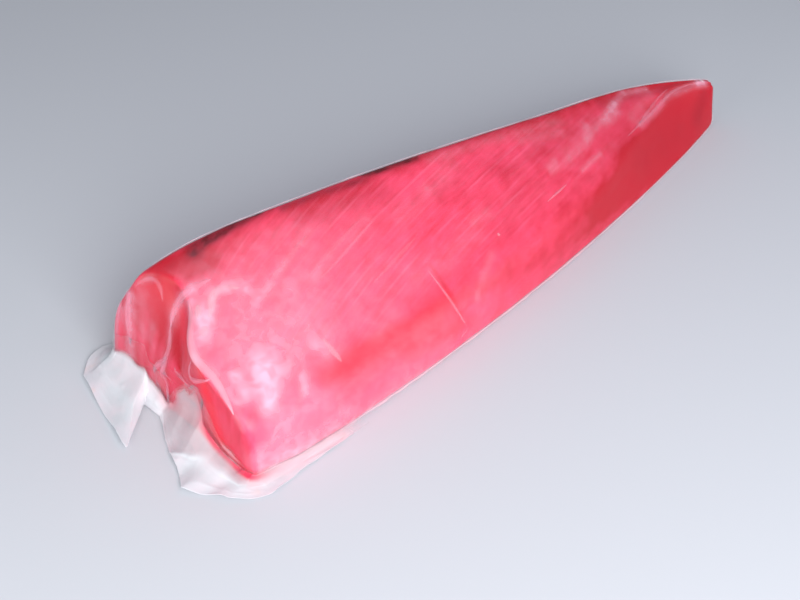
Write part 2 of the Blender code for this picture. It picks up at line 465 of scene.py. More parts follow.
    def cage(self) -> Array:
        """Control grid from the middle of the end cut to the middle of the tail's tip.

        Returns:
            Rows of sixteen points, with each pole three times so that the surface closes there.
        """
        body = []
        for u in self.stations:
            yz = self.section(u)
            set_back = self.end_cut_x(yz[:, 0], yz[:, 1])
            set_back[self.lip_point] -= self.lip_face
            body.append(np.column_stack((u * self.length + set_back * (1.0 - u) ** self.cut_fade, yz)))
        rings = []
        for share, bulge, lip in zip(self.cut_rings, (self.cut_bulge, 0.0), (0.0, self.lip_cut)):
            middle = np.array(self.cut_middle)
            yz = middle + (body[0][:, 1:] - middle) * share
            x = self.end_cut_x(yz[:, 0], yz[:, 1]) - bulge
            x[self.lip_point] -= lip
            rings.append(np.column_stack((x, yz)))
        rings += body
        rim = body[-1]
        for share, bulge in self.tail_rings:
            middle = rim[:, 1:].mean(axis=0)
            yz = middle + (rim[:, 1:] - middle) * share
            x = rim[:, 0].max() + bulge * self.tail_bulge
            rings.append(np.column_stack((np.full(len(yz), x), yz)))
        ends = (rings[0], rings[-1])
        poles = [np.repeat(ring.mean(axis=0)[None], len(ring), axis=0) for ring in ends]
        return np.array([poles[0]] * 3 + rings + [poles[1]] * 3)


@dataclass
class Skin:
    """Closed surface as a grid: rows from the end cut to the tail, columns round the section.

    The first and last rows are single points. Each point knows its outward direction and its
    place on the loin: row and column of the cage, and run, the distance from the ridge.
    """

    points: Array
    normals: Array
    cage_row: Array
    cage_column: Array
    run: Array

    def sample(self, i: Array, j: Array) -> tuple[Array, Array]:
        """Point and outward direction between the grid's points, by straight blends of four.

        Args:
            i: Rows, with fractions.
            j: Columns, with fractions, round the loop.

        Returns:
            Points and unit directions.
        """
        rows, columns = self.points.shape[:2]
        i = np.clip(i, 0.0, rows - 1.001)
        low_i, low_j = np.floor(i).astype(int), np.floor(j).astype(int)
        share_i, share_j = (i - low_i)[..., None], (j - low_j)[..., None]

        def beside(values: Array, column: Array) -> Array:
            """Blend of two rows in one column."""
            near, far = values[low_i, column % columns], values[low_i + 1, column % columns]
            return near * (1 - share_i) + far * share_i

        def blend(values: Array) -> Array:
            """Blend of the four values round each place."""
            return beside(values, low_j) * (1 - share_j) + beside(values, low_j + 1) * share_j

        return blend(self.points), unit(blend(self.normals))

    def rates(self, i: Array, j: Array, way: Array) -> tuple[Array, Array]:
        """How many rows and columns a move of one metre along the surface takes.

        The moves for one row and for one column span the surface there, and the inner products
        of the two with each other and with the way give the shares.

        Args:
            i: Rows, with fractions.
            j: Columns, with fractions.
            way: Unit direction of the move at each place.

        Returns:
            Rows and columns for one metre.
        """
        half = 0.5
        row_step = self.sample(i + half, j)[0] - self.sample(i - half, j)[0]
        column_step = self.sample(i, j + half)[0] - self.sample(i, j - half)[0]
        pairs = ((row_step, row_step), (row_step, column_step), (column_step, column_step))
        rr, rc, cc = ((a * b).sum(-1) for a, b in pairs)
        ra, ca = (row_step * way).sum(-1), (column_step * way).sum(-1)
        det = rr * cc - rc * rc
        return (ra * cc - ca * rc) / det, (ca * rr - ra * rc) / det

    @property
    def x(self) -> Array:
        """Distance of each grid point along the world's X."""
        return self.points[..., 0]


def grid_normals(points: Array) -> Array:
    """Outward directions of a closed grid: the cross product of its two central differences.

    Args:
        points: Grid of points, closed round its second axis, with single points at both ends.

    Returns:
        Unit directions, at the ends the mean of the next row's.
    """
    along = np.gradient(points, axis=0)
    around = np.roll(points, -1, axis=1) - np.roll(points, 1, axis=1)
    normals = np.cross(along, around)
    for end, beside in ((0, 1), (-1, -2)):
        normals[end] = normals[beside].mean(axis=0)
    return normals / np.maximum(np.linalg.norm(normals, axis=-1, keepdims=True), TINY)


@dataclass(frozen=True)
class SkinMaker:
    """Samples the loin's form as an even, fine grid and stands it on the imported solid.

    Columns on the base, which lies on the table, are coarser than those that show.
    """

    form: LoinForm
    row_count: int = 430
    column_count: int = 220
    base_weight: float = 0.2
    base_height: float = 1e-6
    dense: int = 3000
    corner_counts: tuple[int, int] = (1200, 320)
    profile_column: float = 6.5
    ring_row: float = 9.0
    front_column: float = 2.0
    ridge_column: float = 10.0
    back_column: float = 14.0

    @property
    def last_row(self) -> float:
        """Parameter at the cage's last point."""
        return len(self.form.cage()) - 3.0

    def low_corner(self) -> Array:
        """Lowest corner of the form in its own frame.

        Returns:
            The least X, Y and Z of evenly spread samples.
        """
        ends = (self.last_row, self.form.ring_points)
        rows, columns = (np.linspace(0.0, end, count) for end, count in zip(ends, self.corner_counts))
        return self.evaluate(rows, columns).reshape(-1, 3).min(axis=0)

    def evaluate(self, rows: Array, columns: Array) -> Array:
        """Points of the bicubic spline at parameters along the rows and round the columns."""
        return spline_at(spline_at(self.form.cage(), rows, False, 0), columns, True, 1)

    def make(self, low_corner: Array) -> Skin:
        """Sample the form evenly along its main face and round its middle section.

        Args:
            low_corner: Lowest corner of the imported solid.

        Returns:
            The surface in the world's frame.
        """
        rows = np.linspace(0.0, self.last_row, self.dense)
        arc = arc_lengths(self.evaluate(rows, np.array([self.profile_column]))[:, 0])
        row_places = np.interp(np.linspace(0.0, arc[-1], self.row_count), arc, rows)

        columns = np.linspace(0.0, self.form.ring_points, self.dense)
        ring = self.evaluate(np.array([self.ring_row]), columns)[0]
        step = np.linalg.norm(np.diff(ring, axis=0), axis=1)
        weight = np.where(ring[1:, 2] < self.base_height, self.base_weight, 1.0)
        weighted = np.concatenate(([0.0], np.cumsum(step * weight)))
        shares = np.arange(self.column_count) / self.column_count
        column_places = np.interp(shares * weighted[-1], weighted, columns)

        points = self.evaluate(row_places, column_places)
        points = points - points.reshape(-1, 3).min(axis=0) + low_corner
        cage_column = (column_places + 1.0) % self.form.ring_points
        run = self.ridge_run(points, cage_column)
        return Skin(points, grid_normals(points), row_places, cage_column, run)

    def ridge_run(self, points: Array, cage_column: Array) -> Array:
        """Distance from the ridge down either side, carried on evenly under the base.

        Args:
            points: Grid of points.
            cage_column: Cage column of each grid column.

        Returns:
            The distance at each grid point.
        """
        order = np.argsort(cage_column)
        places = cage_column[order]
        lengths = np.linalg.norm(np.roll(points, -1, axis=1) - points, axis=-1)[:, order]
        arc = np.concatenate((np.zeros((len(points), 1)), np.cumsum(lengths, axis=1)[:, :-1]), axis=1)
        marks = (self.ridge_column, self.front_column, self.back_column)
        ridge, front, back = (int(np.argmin(np.abs(places - mark))) for mark in marks)
        run = np.abs(arc - arc[:, ridge : ridge + 1])
        under = (places > self.back_column) | (places < self.front_column)
        base_columns = (self.front_column - self.back_column) % self.form.ring_points
        share = ((places - self.back_column) % self.form.ring_points) / base_columns
        blend = run[:, back : back + 1] * (1.0 - share) + run[:, front : front + 1] * share
        run = np.where(under, blend, run)
        back_to_grid = np.empty_like(run)
        back_to_grid[:, order] = run
        return back_to_grid


def add_object(
    name: str, data: bpy.types.ID, place: Sizes = (0.0, 0.0, 0.0), way: Array | Vector | None = None
) -> Object:
    """Link an object to the scene.

    Args:
        name: Name of the object.
        data: Mesh, camera or light that it shows.
        place: Where it stands.
        way: Direction that it looks in, for a camera or a light.

    Returns:
        The object.
    """
    thing = bpy.data.objects.new(name, data)
    thing.location = place
    if way is not None:
        thing.rotation_euler = Vector(way).to_track_quat("-Z", "Y").to_euler()
    bpy.context.scene.collection.objects.link(thing)
    return thing


def each(kind: type, *rows: tuple) -> tuple:
    """One object of a kind for each row of its values."""
    return tuple(kind(*row) for row in rows)


@dataclass(frozen=True)
class PhotoView:
    """The photograph's view: a level camera that looks at a point on the table under the loin."""

    target: tuple[float, float, float]
    azimuth: float = -41.0
    elevation: float = 42.0
    distance: float = 0.7515
    lens: float = 50.0
    sensor: float = 36.0
    clip_start: float = 0.01
    behind: float = 1e9
    least_spread: float = 0.05
    width: int = 800
    height: int = 600

    def axes(self) -> tuple[Array, Array, Array, Array]:
        """Eye, right, up and forward of the camera.

        Returns:
            The eye's place and three unit directions.
        """
        a, e = np.radians(self.azimuth), np.radians(self.elevation)
        back = np.array((np.sin(a) * np.cos(e), -np.cos(a) * np.cos(e), np.sin(e)))
        eye = np.array(self.target) + back * self.distance
        right = np.cross(-back, (0.0, 0.0, 1.0))
        right /= np.linalg.norm(right)
        return eye, right, np.cross(right, -back), -back

    def project(self, points: Array) -> Array:
        """Pixels of points: their offsets from the eye over their depth, times the focal length.

        Args:
            points: Points in the world.

        Returns:
            Pixel columns and rows in the photograph's frame.
        """
        eye, right, up, forward = self.axes()
        offset = points - eye
        scale = self.lens / self.sensor * self.width / (offset @ forward)
        column = self.width / 2 + (offset @ right) * scale
        return np.stack((column, self.height / 2 - (offset @ up) * scale), -1)

    def land(self, pixels: tuple[Pixel, ...], skin: Skin) -> tuple[Array, Array]:
        """Places on the surface that show at pixels: the nearest facing grid point, then one
        straight-line correction within its cell.

        Args:
            pixels: Pixels in the photograph's frame.
            skin: Surface to land on.

        Returns:
            Rows and columns of the grid, with fractions.
        """
        eye = self.axes()[0]
        image = self.project(skin.points)
        facing = ((eye - skin.points) * skin.normals).sum(-1) > 0.0
        far = np.where(facing, 0.0, self.behind)
        places = []
        for pixel in np.asarray(pixels, float):
            gap = ((image - pixel) ** 2).sum(-1) + far
            i, j = np.unravel_index(int(np.argmin(gap)), gap.shape)
            i = min(max(i, 2), len(image) - 3)
            by_row = (image[i + 1, j] - image[i - 1, j]) / 2
            by_column = (image[i, (j + 1) % image.shape[1]] - image[i, j - 1]) / 2
            matrix = np.column_stack((by_row, by_column))
            move = np.linalg.lstsq(matrix, pixel - image[i, j], rcond=self.least_spread)[0]
            places.append((i, j) + np.clip(move, -1.0, 1.0))
        i, j = np.array(places).T
        around = skin.points.shape[1]
        moves = (np.diff(j) + around / 2) % around - around / 2
        return i, j[0] + np.concatenate(([0.0], np.cumsum(moves)))

    def camera(self) -> Object:
        """Camera object of this view.

        Returns:
            The camera, linked to the scene.
        """
        eye, _, _, forward = self.axes()
        data = bpy.data.cameras.new("photo_view")
        data.lens = self.lens
        data.sensor_width = self.sensor
        data.clip_start = self.clip_start
        return add_object("photo_view", data, eye, forward)


@dataclass(frozen=True)
class Stroke:
    """Soft streak or spot on the loin, through places given as pixels of the photograph."""

    pixels: tuple[Pixel, ...]
    half_width: float
    strength: float

    def weight(self, skin: Skin, view: PhotoView) -> Array:
        """Bell curve of the distance to the streak, times its strength.

        Args:
            skin: Surface that it lies on.
            view: View that the pixels belong to.

        Returns:
            The weight at each grid point.
        """
        return self.near(skin.points, skin, view)

    def near(self, points: Array, skin: Skin, view: PhotoView) -> Array:
        """The same curve at any points, such as those of a film over the loin."""
        line = skin.sample(*view.land(self.pixels, skin))[0]
        return self.strength * bell(distance_to_line(points, line), self.half_width)


def stroke_total(strokes: tuple[Stroke, ...], skin: Skin, view: PhotoView) -> Array:
    """Sum of the weights of strokes at each grid point."""
    return sum((stroke.weight(skin, view) for stroke in strokes), np.zeros(skin.x.shape))


def new_mesh(
    name: str, points: Array, loops: Array, starts: Array, values: dict[str, Array] | None = None
) -> bpy.types.Mesh:
    """Mesh from flat arrays of points and face corners.

    Args:
        name: Name of the mesh.
        points: Vertices.
        loops: Vertex of each face corner, face after face.
        starts: First corner of each face.
        values: One number or one vector a vertex, by the name that the material reads.

    Returns:
        The mesh, shaded smooth.
    """
    mesh = bpy.data.meshes.new(name)
    mesh.vertices.add(len(points))
    mesh.vertices.foreach_set("co", np.ascontiguousarray(points, np.float32).ravel())
    mesh.loops.add(len(loops))
    mesh.loops.foreach_set("vertex_index", loops.astype(np.int32))
    mesh.polygons.add(len(starts))
    mesh.polygons.foreach_set("loop_start", starts.astype(np.int32))
    mesh.update(calc_edges=True)
    mesh.validate()
    mesh.shade_smooth()
    for key, value in (values or {}).items():
        kind, field_name = ("FLOAT_VECTOR", "vector") if value.ndim == 2 else ("FLOAT", "value")
        layer = mesh.attributes.new(key, kind, "POINT")
        layer.data.foreach_set(field_name, np.ascontiguousarray(value, np.float32).ravel())
    return mesh


def closed_grid_faces(rows: int, columns: int) -> tuple[Array, Array]:
    """Faces of a tube of rings closed by a point at each end: quads, then two fans.

    Args:
        rows: Rings between the two end points.
        columns: Points in a ring.

    Returns:
        Face corners and first corners. The two end points come after the rings' points.
    """
    ring = np.arange(rows * columns).reshape(rows, columns)
    beside = np.roll(ring, -1, axis=1)
    quads = np.stack((ring[:-1], ring[1:], beside[1:], beside[:-1]), -1).reshape(-1)
    first = np.full(columns, rows * columns)
    last = first + 1
    fans = np.stack(((first, ring[0], beside[0]), (ring[-1], last, beside[-1])))
    fans = np.moveaxis(fans, 1, -1)
    quad_starts = np.arange((rows - 1) * columns) * 4
    fan_starts = len(quads) + np.arange(2 * columns) * 3
    return np.concatenate((quads, fans.reshape(-1))), np.concatenate((quad_starts, fan_starts))


def flat_points(grid: Array) -> Array:
    """Values of a closed grid in mesh order: the inner rows, then one mean for each end row."""
    inner = grid[1:-1].reshape(-1, *grid.shape[2:])
    return np.concatenate((inner, grid[:1].mean(axis=1), grid[-1:].mean(axis=1)))


def closed_mesh(name: str, points: Array, values: dict[str, Array]) -> bpy.types.Mesh:
    """Mesh of one closed grid of points, with the values that its material reads at each."""
    flat = {key: flat_points(value) for key, value in values.items()}
    return new_mesh(name, flat_points(points), *closed_grid_faces(len(points) - 2, points.shape[1]), flat)


def add_piece(
    mesh: bpy.types.Mesh, material: bpy.types.Material, node: Node
) -> Object:
    """Put a mesh into the scene as a piece of the part, at the origin.

    Args:
        mesh: Finished mesh, with its place in its vertices.
        material: Its material.
        node: Solid that it stands for.

    Returns:
        The piece.
    """
    mesh.materials.append(material)
    piece = add_object(mesh.name, mesh)
    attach(piece, BODY)
    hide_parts(node.value)
    LOG.info("%s: %d vertices, %d faces", mesh.name, len(mesh.vertices), len(mesh.polygons))
    return piece


def add_node(
    tree: Tree, kind: str, settings: dict | None = None, inputs: dict | None = None
) -> ShaderNode:
    """Add a shader node with its settings, and link or set its inputs.

    Args:
        tree: Node tree of a material.
        kind: Type name of the node, without its ShaderNode prefix.
        settings: Properties by name.
        inputs: Sockets, nodes (which stand for their first output) or values, by name or number.

    Returns:
        The node.
    """
    node = tree.nodes.new("ShaderNode" + kind)
    for name, value in (settings or {}).items():
        setattr(node, name, value)
    for key, value in (inputs or {}).items():
        if isinstance(value, ShaderNode):
            tree.links.new(value.outputs[0], node.inputs[key])
        elif isinstance(value, Socket):
            tree.links.new(value, node.inputs[key])
        else:
            node.inputs[key].default_value = value
    return node


def new_material(name: str) -> tuple[bpy.types.Material, Tree]:
    """Empty node material.

    Args:
        name: Name of the real material and how its surface was made.

    Returns:
        The material and its node tree.
    """
    material = bpy.data.materials.new(name)
    material.use_nodes = True
    material.node_tree.nodes.clear()
    return material, material.node_tree


@dataclass(frozen=True)
class RawTunaFlesh:
    """Raw tuna flesh, knife trimmed: wet red muscle with thin pale sheets between its flakes.

    Light goes a few millimetres into it and comes back red, so edges glow and shadows are warm.
    Sizes across and along the muscle are in millimetres.
    """

    deep: str = "#BC1428"
    pink: str = "#F24E70"
    ruby: str = "#F02038"
    line: str = "#FF8FB0"
    maroon: str = "#640A16"
    line_pitch: float = 5.8
    line_share: float = 0.14
    line_crest: Range = (0.4, 1.0)
    bend_size: Range = (20.0, 60.0)
    bend_reach: float = 3.0
    patch_size: Range = (9.0, 34.0)
    patch_range: Range = (0.4, 0.66)
    streak_size: float = 3.0
    streak_stretch: float = 0.12
    mottle_size: float = 9.0
    mottle_stretch: float = 0.7
    mottle_tone: float = 0.9
    stripe_size: float = 6.0
    stripe_rise: float = 22.0
    grain_tone: Range = (0.25, 0.75)
    grain_bump: float = 0.25
    grain_depth: float = 0.0004
    roughness: float = 0.5
    roughness_swing: float = 0.1
    refraction: float = 1.33
    specular: float = 0.25
    glow: float = 0.25
    glow_colour: Sizes = (1.0, 0.22, 0.16)
    glow_depth: float = 0.003

    @staticmethod
    def bundles(tree: Tree, place: Socket, scale: Sizes, detail: float) -> ShaderNode:
        """Uneven muscle: a noise in places scaled along each axis, with zero for an even axis."""
        scaled = add_node(tree, "VectorMath", {"operation": "MULTIPLY"}, {0: place, 1: scale})
        return add_node(tree, "TexNoise", {}, {"Vector": scaled, "Scale": 1.0, "Detail": detail})

    def sheets(self, tree: Tree, muscle: Socket, lines: Socket) -> ShaderNode:
        """Sheets between the flakes: narrow crests of a wave across the muscle, bent by noise.

        Args:
            tree: Node tree of the material.
            muscle: Place in the muscle.
            lines: How plainly the sheets show.

        Returns:
            Share of the sheets' colour.
        """
        across_size, along_size = self.bend_size
        bend = self.bundles(tree, muscle, (1.0 / across_size, 1.0 / along_size, 0.0), 2.0)
        across = add_node(tree, "SeparateXYZ", {}, {0: muscle})
        bent = {0: bend, 1: self.bend_reach, 2: across}
        shift = add_node(tree, "Math", {"operation": "MULTIPLY_ADD"}, bent)
        turns = {0: shift, 1: 2.0 * np.pi / self.line_pitch}
        phase = add_node(tree, "Math", {"operation": "MULTIPLY"}, turns)
        wave = add_node(tree, "Math", {"operation": "SINE"}, {0: phase})
        low, high = self.line_crest
        rise = {0: wave, 1: low, 2: high, 3: 0.0, 4: 1.0}
        sheet = add_node(tree, "MapRange", {"interpolation_type": "SMOOTHSTEP"}, rise)
        across_size, along_size = self.patch_size
        patch = self.bundles(tree, muscle, (1.0 / across_size, 1.0 / along_size, 0.0), 1.0)
        low, high = self.patch_range
        patchy = add_node(tree, "MapRange", {}, {0: patch, 1: low, 2: high})
        for factor in (patchy, lines, self.line_share):
            sheet = add_node(tree, "Math", {"operation": "MULTIPLY"}, {0: sheet, 1: factor})
        return sheet

    def grain(self, tree: Tree, muscle: Socket, cut: Socket) -> ShaderNode:
        """Muscle bundles: long streaks along the muscle, and upright stripes on the end cut.

        Args:
            tree: Node tree of the material.
            muscle: Place in the muscle.
            cut: One on the end cut.

        Returns:
            The grain, about one half in the mean.
        """
        place = add_node(tree, "TexCoord").outputs["Object"]
        streak_scale = (1.0 / self.streak_size, self.streak_stretch / self.streak_size, 0.0)
        streak = self.bundles(tree, muscle, streak_scale, 3.0)
        stripe_scale = (0.0, 1.0 / (self.stripe_size * MM), self.stripe_rise)
        stripe = self.bundles(tree, place, stripe_scale, 2.0)
        return add_node(tree, "Mix", {"data_type": "FLOAT"}, {0: cut, 2: streak, 3: stripe})

    def tone(
        self, tree: Tree, marks: dict[str, Socket], grain: ShaderNode, mottle: ShaderNode
    ) -> ShaderNode:
        """How pink the flesh is: the pale mark, with the grain and short blotches.

        Args:
            tree: Node tree of the material.
            marks: Attributes by name.
            grain: The muscle bundles.
            mottle: The blotches.

        Returns:
            The share, from 0 for deep red to 1 for pink.
        """
        low, high = self.grain_tone
        plain = add_node(tree, "Math", {"operation": "MAXIMUM"}, {0: marks["lines"], 1: marks["cut"]})
        weight = add_node(tree, "MapRange", {}, {0: plain, 3: low, 4: high})
        centred = add_node(tree, "Math", {"operation": "SUBTRACT"}, {0: grain, 1: 0.5})
        grained = {0: centred, 1: weight, 2: marks["pale"]}
        tone = add_node(tree, "Math", {"operation": "MULTIPLY_ADD"}, grained)
        blotched = {0: mottle, 1: self.mottle_tone, 2: tone}
        tone = add_node(tree, "Math", {"operation": "MULTIPLY_ADD"}, blotched)
        centring = {0: tone, 1: self.mottle_tone / 2}
        return add_node(tree, "Math", {"operation": "SUBTRACT", "use_clamp": True}, centring)

    def make(self) -> bpy.types.Material:
        """Build the flesh material from the attributes pale, ruby, blood, lines, cut and muscle.

        Returns:
            The material.
        """
        material, tree = new_material("raw_tuna_flesh_knife_trimmed")
        marks = {
            name: add_node(tree, "Attribute", {"attribute_name": name}).outputs["Fac"]
            for name in ("pale", "ruby", "blood", "lines", "cut")
        }
        muscle = add_node(tree, "Attribute", {"attribute_name": "muscle"}).outputs["Vector"]
        sheet = self.sheets(tree, muscle, marks["lines"])
        grain = self.grain(tree, muscle, marks["cut"])
        mottle_scale = (1.0 / self.mottle_size, self.mottle_stretch / self.mottle_size, 0.0)
        mottle = self.bundles(tree, muscle, mottle_scale, 4.0)
        tone = self.tone(tree, marks, grain, mottle)
        patches = {0: marks["blood"], 1: mottle}
        dark = add_node(tree, "Math", {"operation": "MULTIPLY", "use_clamp": True}, patches)
        layers = ((tone, self.pink), (marks["ruby"], self.ruby), (sheet, self.line), (dark, self.maroon))
        colour = linear_colour(self.deep)
        for share, code in layers:
            mixed = {0: share, 6: colour, 7: linear_colour(code)}
            colour = add_node(tree, "Mix", {"data_type": "RGBA"}, mixed).outputs[2]
        relief = {"Strength": self.grain_bump, "Distance": self.grain_depth, "Height": grain}
        bump = add_node(tree, "Bump", {}, relief)
        low, high = self.roughness - self.roughness_swing, self.roughness + self.roughness_swing
        wet = add_node(tree, "MapRange", {}, {0: mottle, 3: low, 4: high})
        shader = add_node(tree, "BsdfPrincipled", {}, {
            "Base Color": colour,
            "Roughness": wet,
            "Normal": bump,
            "IOR": self.refraction,
            "Specular IOR Level": self.specular,
            "Subsurface Weight": self.glow,
            "Subsurface Radius": self.glow_colour,
            "Subsurface Scale": self.glow_depth,
        })
        add_node(tree, "OutputMaterial", {}, {"Surface": shader})
        return material


class FilmLay(Enum):
    """How the bag film lies, which decides how much of it is clear."""

    TIGHT = "polythene_film_blown_tight"
    FOLDED = "polythene_film_blown_folded"
    LOOSE = "polythene_film_blown_loose"


@dataclass(frozen=True)
class BagFilm:
    """Blown polythene film, cold and damp: clear and glossy where it clings, milky where it
    stands off, doubles up or is creased.

    The attribute haze gives the milky share, from 0 to 1, and flush how far the milky part
    takes the pink of the wet flesh that it lies on, as painted light that the red flesh sends back through
    it. Noise sizes are in millimetres.
    """

    lay: FilmLay
    milk: str = "#F8F6FA"
    cool: str = "#EEF5F8"
    warm: str = "#FFEBE6"
    flush: str = "#FFCDE6"
    white: str = "#FFFFFF"
    gloss_roughness: float = 0.3
    gloss_face: float = 0.022
    gloss_edge: float = 0.5
    gloss_rise: float = 5.0
    milk_roughness: float = 0.38
    milk_range: Range = (0.35, 0.65)
    warm_range: Range = (0.66, 0.84)
    refraction: float = 1.5
    tint_size: float = 16.0
    cloud: float = 0.0
    cloud_size: float = 7.0
    cloud_bend: float = 0.4
    cloud_range: Range = (0.3, 0.7)
    wrinkle_size: float = 6.0
    wrinkle_height: float = 0.0004
    wrinkle_strength: float = 0.2
    through: float = 0.45

    def clouded(self, tree: Tree, place: Socket, haze: Socket) -> ShaderNode:
        """Haze made uneven by soft patches.

        Args:
            tree: Node tree of the material.
            place: Place to evaluate.
            haze: The even haze.

        Returns:
            The uneven haze.
        """
        scale = 1.0 / (self.cloud_size * MM)
        noise = {"Vector": place, "Scale": scale, "Detail": 1.0, "Distortion": self.cloud_bend}
        patch = add_node(tree, "TexNoise", {}, noise)
        low, high = self.cloud_range
        span = {0: patch, 1: low, 2: high, 3: 1.0 - self.cloud, 4: 1.0 + self.cloud}
        thin = add_node(tree, "MapRange", {"interpolation_type": "SMOOTHSTEP"}, span)
        return add_node(tree, "Math", {"operation": "MULTIPLY", "use_clamp": True}, {0: haze, 1: thin})

    def clear_layer(self, tree: Tree, bump: ShaderNode) -> ShaderNode:
        """Clear film, whose gloss is weak where it faces the eye and rises toward its edge.

        Args:
            tree: Node tree of the material.
            bump: Fine wrinkles.

        Returns:
            The shader.
        """
        white = linear_colour(self.white)
        sheen = {"Color": white, "Roughness": self.gloss_roughness, "Normal": bump}
        gloss = add_node(tree, "BsdfGlossy", {}, sheen)
        clear = add_node(tree, "BsdfTransparent", {}, {"Color": white})
        facing = add_node(tree, "LayerWeight", {}, {"Blend": 0.5, "Normal": bump}).outputs[1]
        edge = add_node(tree, "Math", {"operation": "POWER"}, {0: facing, 1: self.gloss_rise})
        rise = {0: edge, 1: self.gloss_edge, 2: self.gloss_face}
        share = add_node(tree, "Math", {"operation": "MULTIPLY_ADD", "use_clamp": True}, rise)
        return add_node(tree, "MixShader", {}, {0: share, 1: clear, 2: gloss})

    def make(self) -> bpy.types.Material:
        """Build the film: a clear glossy layer, mixed with a milky one by the haze.

        Returns:
            The material.
        """
        material, tree = new_material(self.lay.value)
        place = add_node(tree, "TexCoord").outputs["Object"]
        haze, flush = (
            add_node(tree, "Attribute", {"attribute_name": name}).outputs["Fac"] for name in ("haze", "flush")
        )
        tint_scale = 1.0 / (self.tint_size * MM)
        tint = add_node(tree, "TexNoise", {}, {"Vector": place, "Scale": tint_scale, "Detail": 2.0})
        milk_share, warm_share = (
            add_node(tree, "MapRange", {}, {0: tint, 1: low, 2: high})
            for low, high in (self.milk_range, self.warm_range)
        )
        layers = ((milk_share, self.milk), (warm_share, self.warm), (flush, self.flush))
        colour = linear_colour(self.cool)
        for share, code in layers:
            mixed = {0: share, 6: colour, 7: linear_colour(code)}
            colour = add_node(tree, "Mix", {"data_type": "RGBA"}, mixed).outputs[2]
        noise = {"Vector": place, "Scale": 1.0 / (self.wrinkle_size * MM), "Detail": 3.0}
        wrinkle = add_node(tree, "TexNoise", {"noise_type": "RIDGED_MULTIFRACTAL"}, noise)
        relief = {"Strength": self.wrinkle_strength, "Distance": self.wrinkle_height, "Height": wrinkle}
        bump = add_node(tree, "Bump", {}, relief)
        if self.cloud > 0.0:
            haze = self.clouded(tree, place, haze)
        milk = {"Base Color": colour, "Roughness": self.milk_roughness, "IOR": self.refraction}
        body = add_node(tree, "BsdfPrincipled", {}, milk | {"Normal": bump})
        lit_through = add_node(tree, "BsdfTranslucent", {}, {"Color": colour})
        milky = add_node(tree, "MixShader", {}, {0: self.through, 1: body, 2: lit_through})
        film = add_node(tree, "MixShader", {}, {0: haze, 1: self.clear_layer(tree, bump), 2: milky})
        add_node(tree, "OutputMaterial", {}, {"Surface": film})
        return material


TIGHT_FILM = BagFilm(
    FilmLay.TIGHT, gloss_face=0.016, gloss_edge=0.3, cloud=0.2, wrinkle_strength=0.05, through=0.08
)
# Folded film's strong pink flush is painted light that the red flesh sends back through the folds.
FOLDED_FILM = BagFilm(
    FilmLay.FOLDED, flush="#FF9CB8", gloss_face=0.008, gloss_edge=0.0, wrinkle_strength=0.1, through=0.08
)
LOOSE_FILM = BagFilm(
    FilmLay.LOOSE, milk="#F0EEF3", cool="#E6EDF1", warm="#F8E6E2", flush="#FF4C72", gloss_roughness=0.28,
    through=0.3,
)


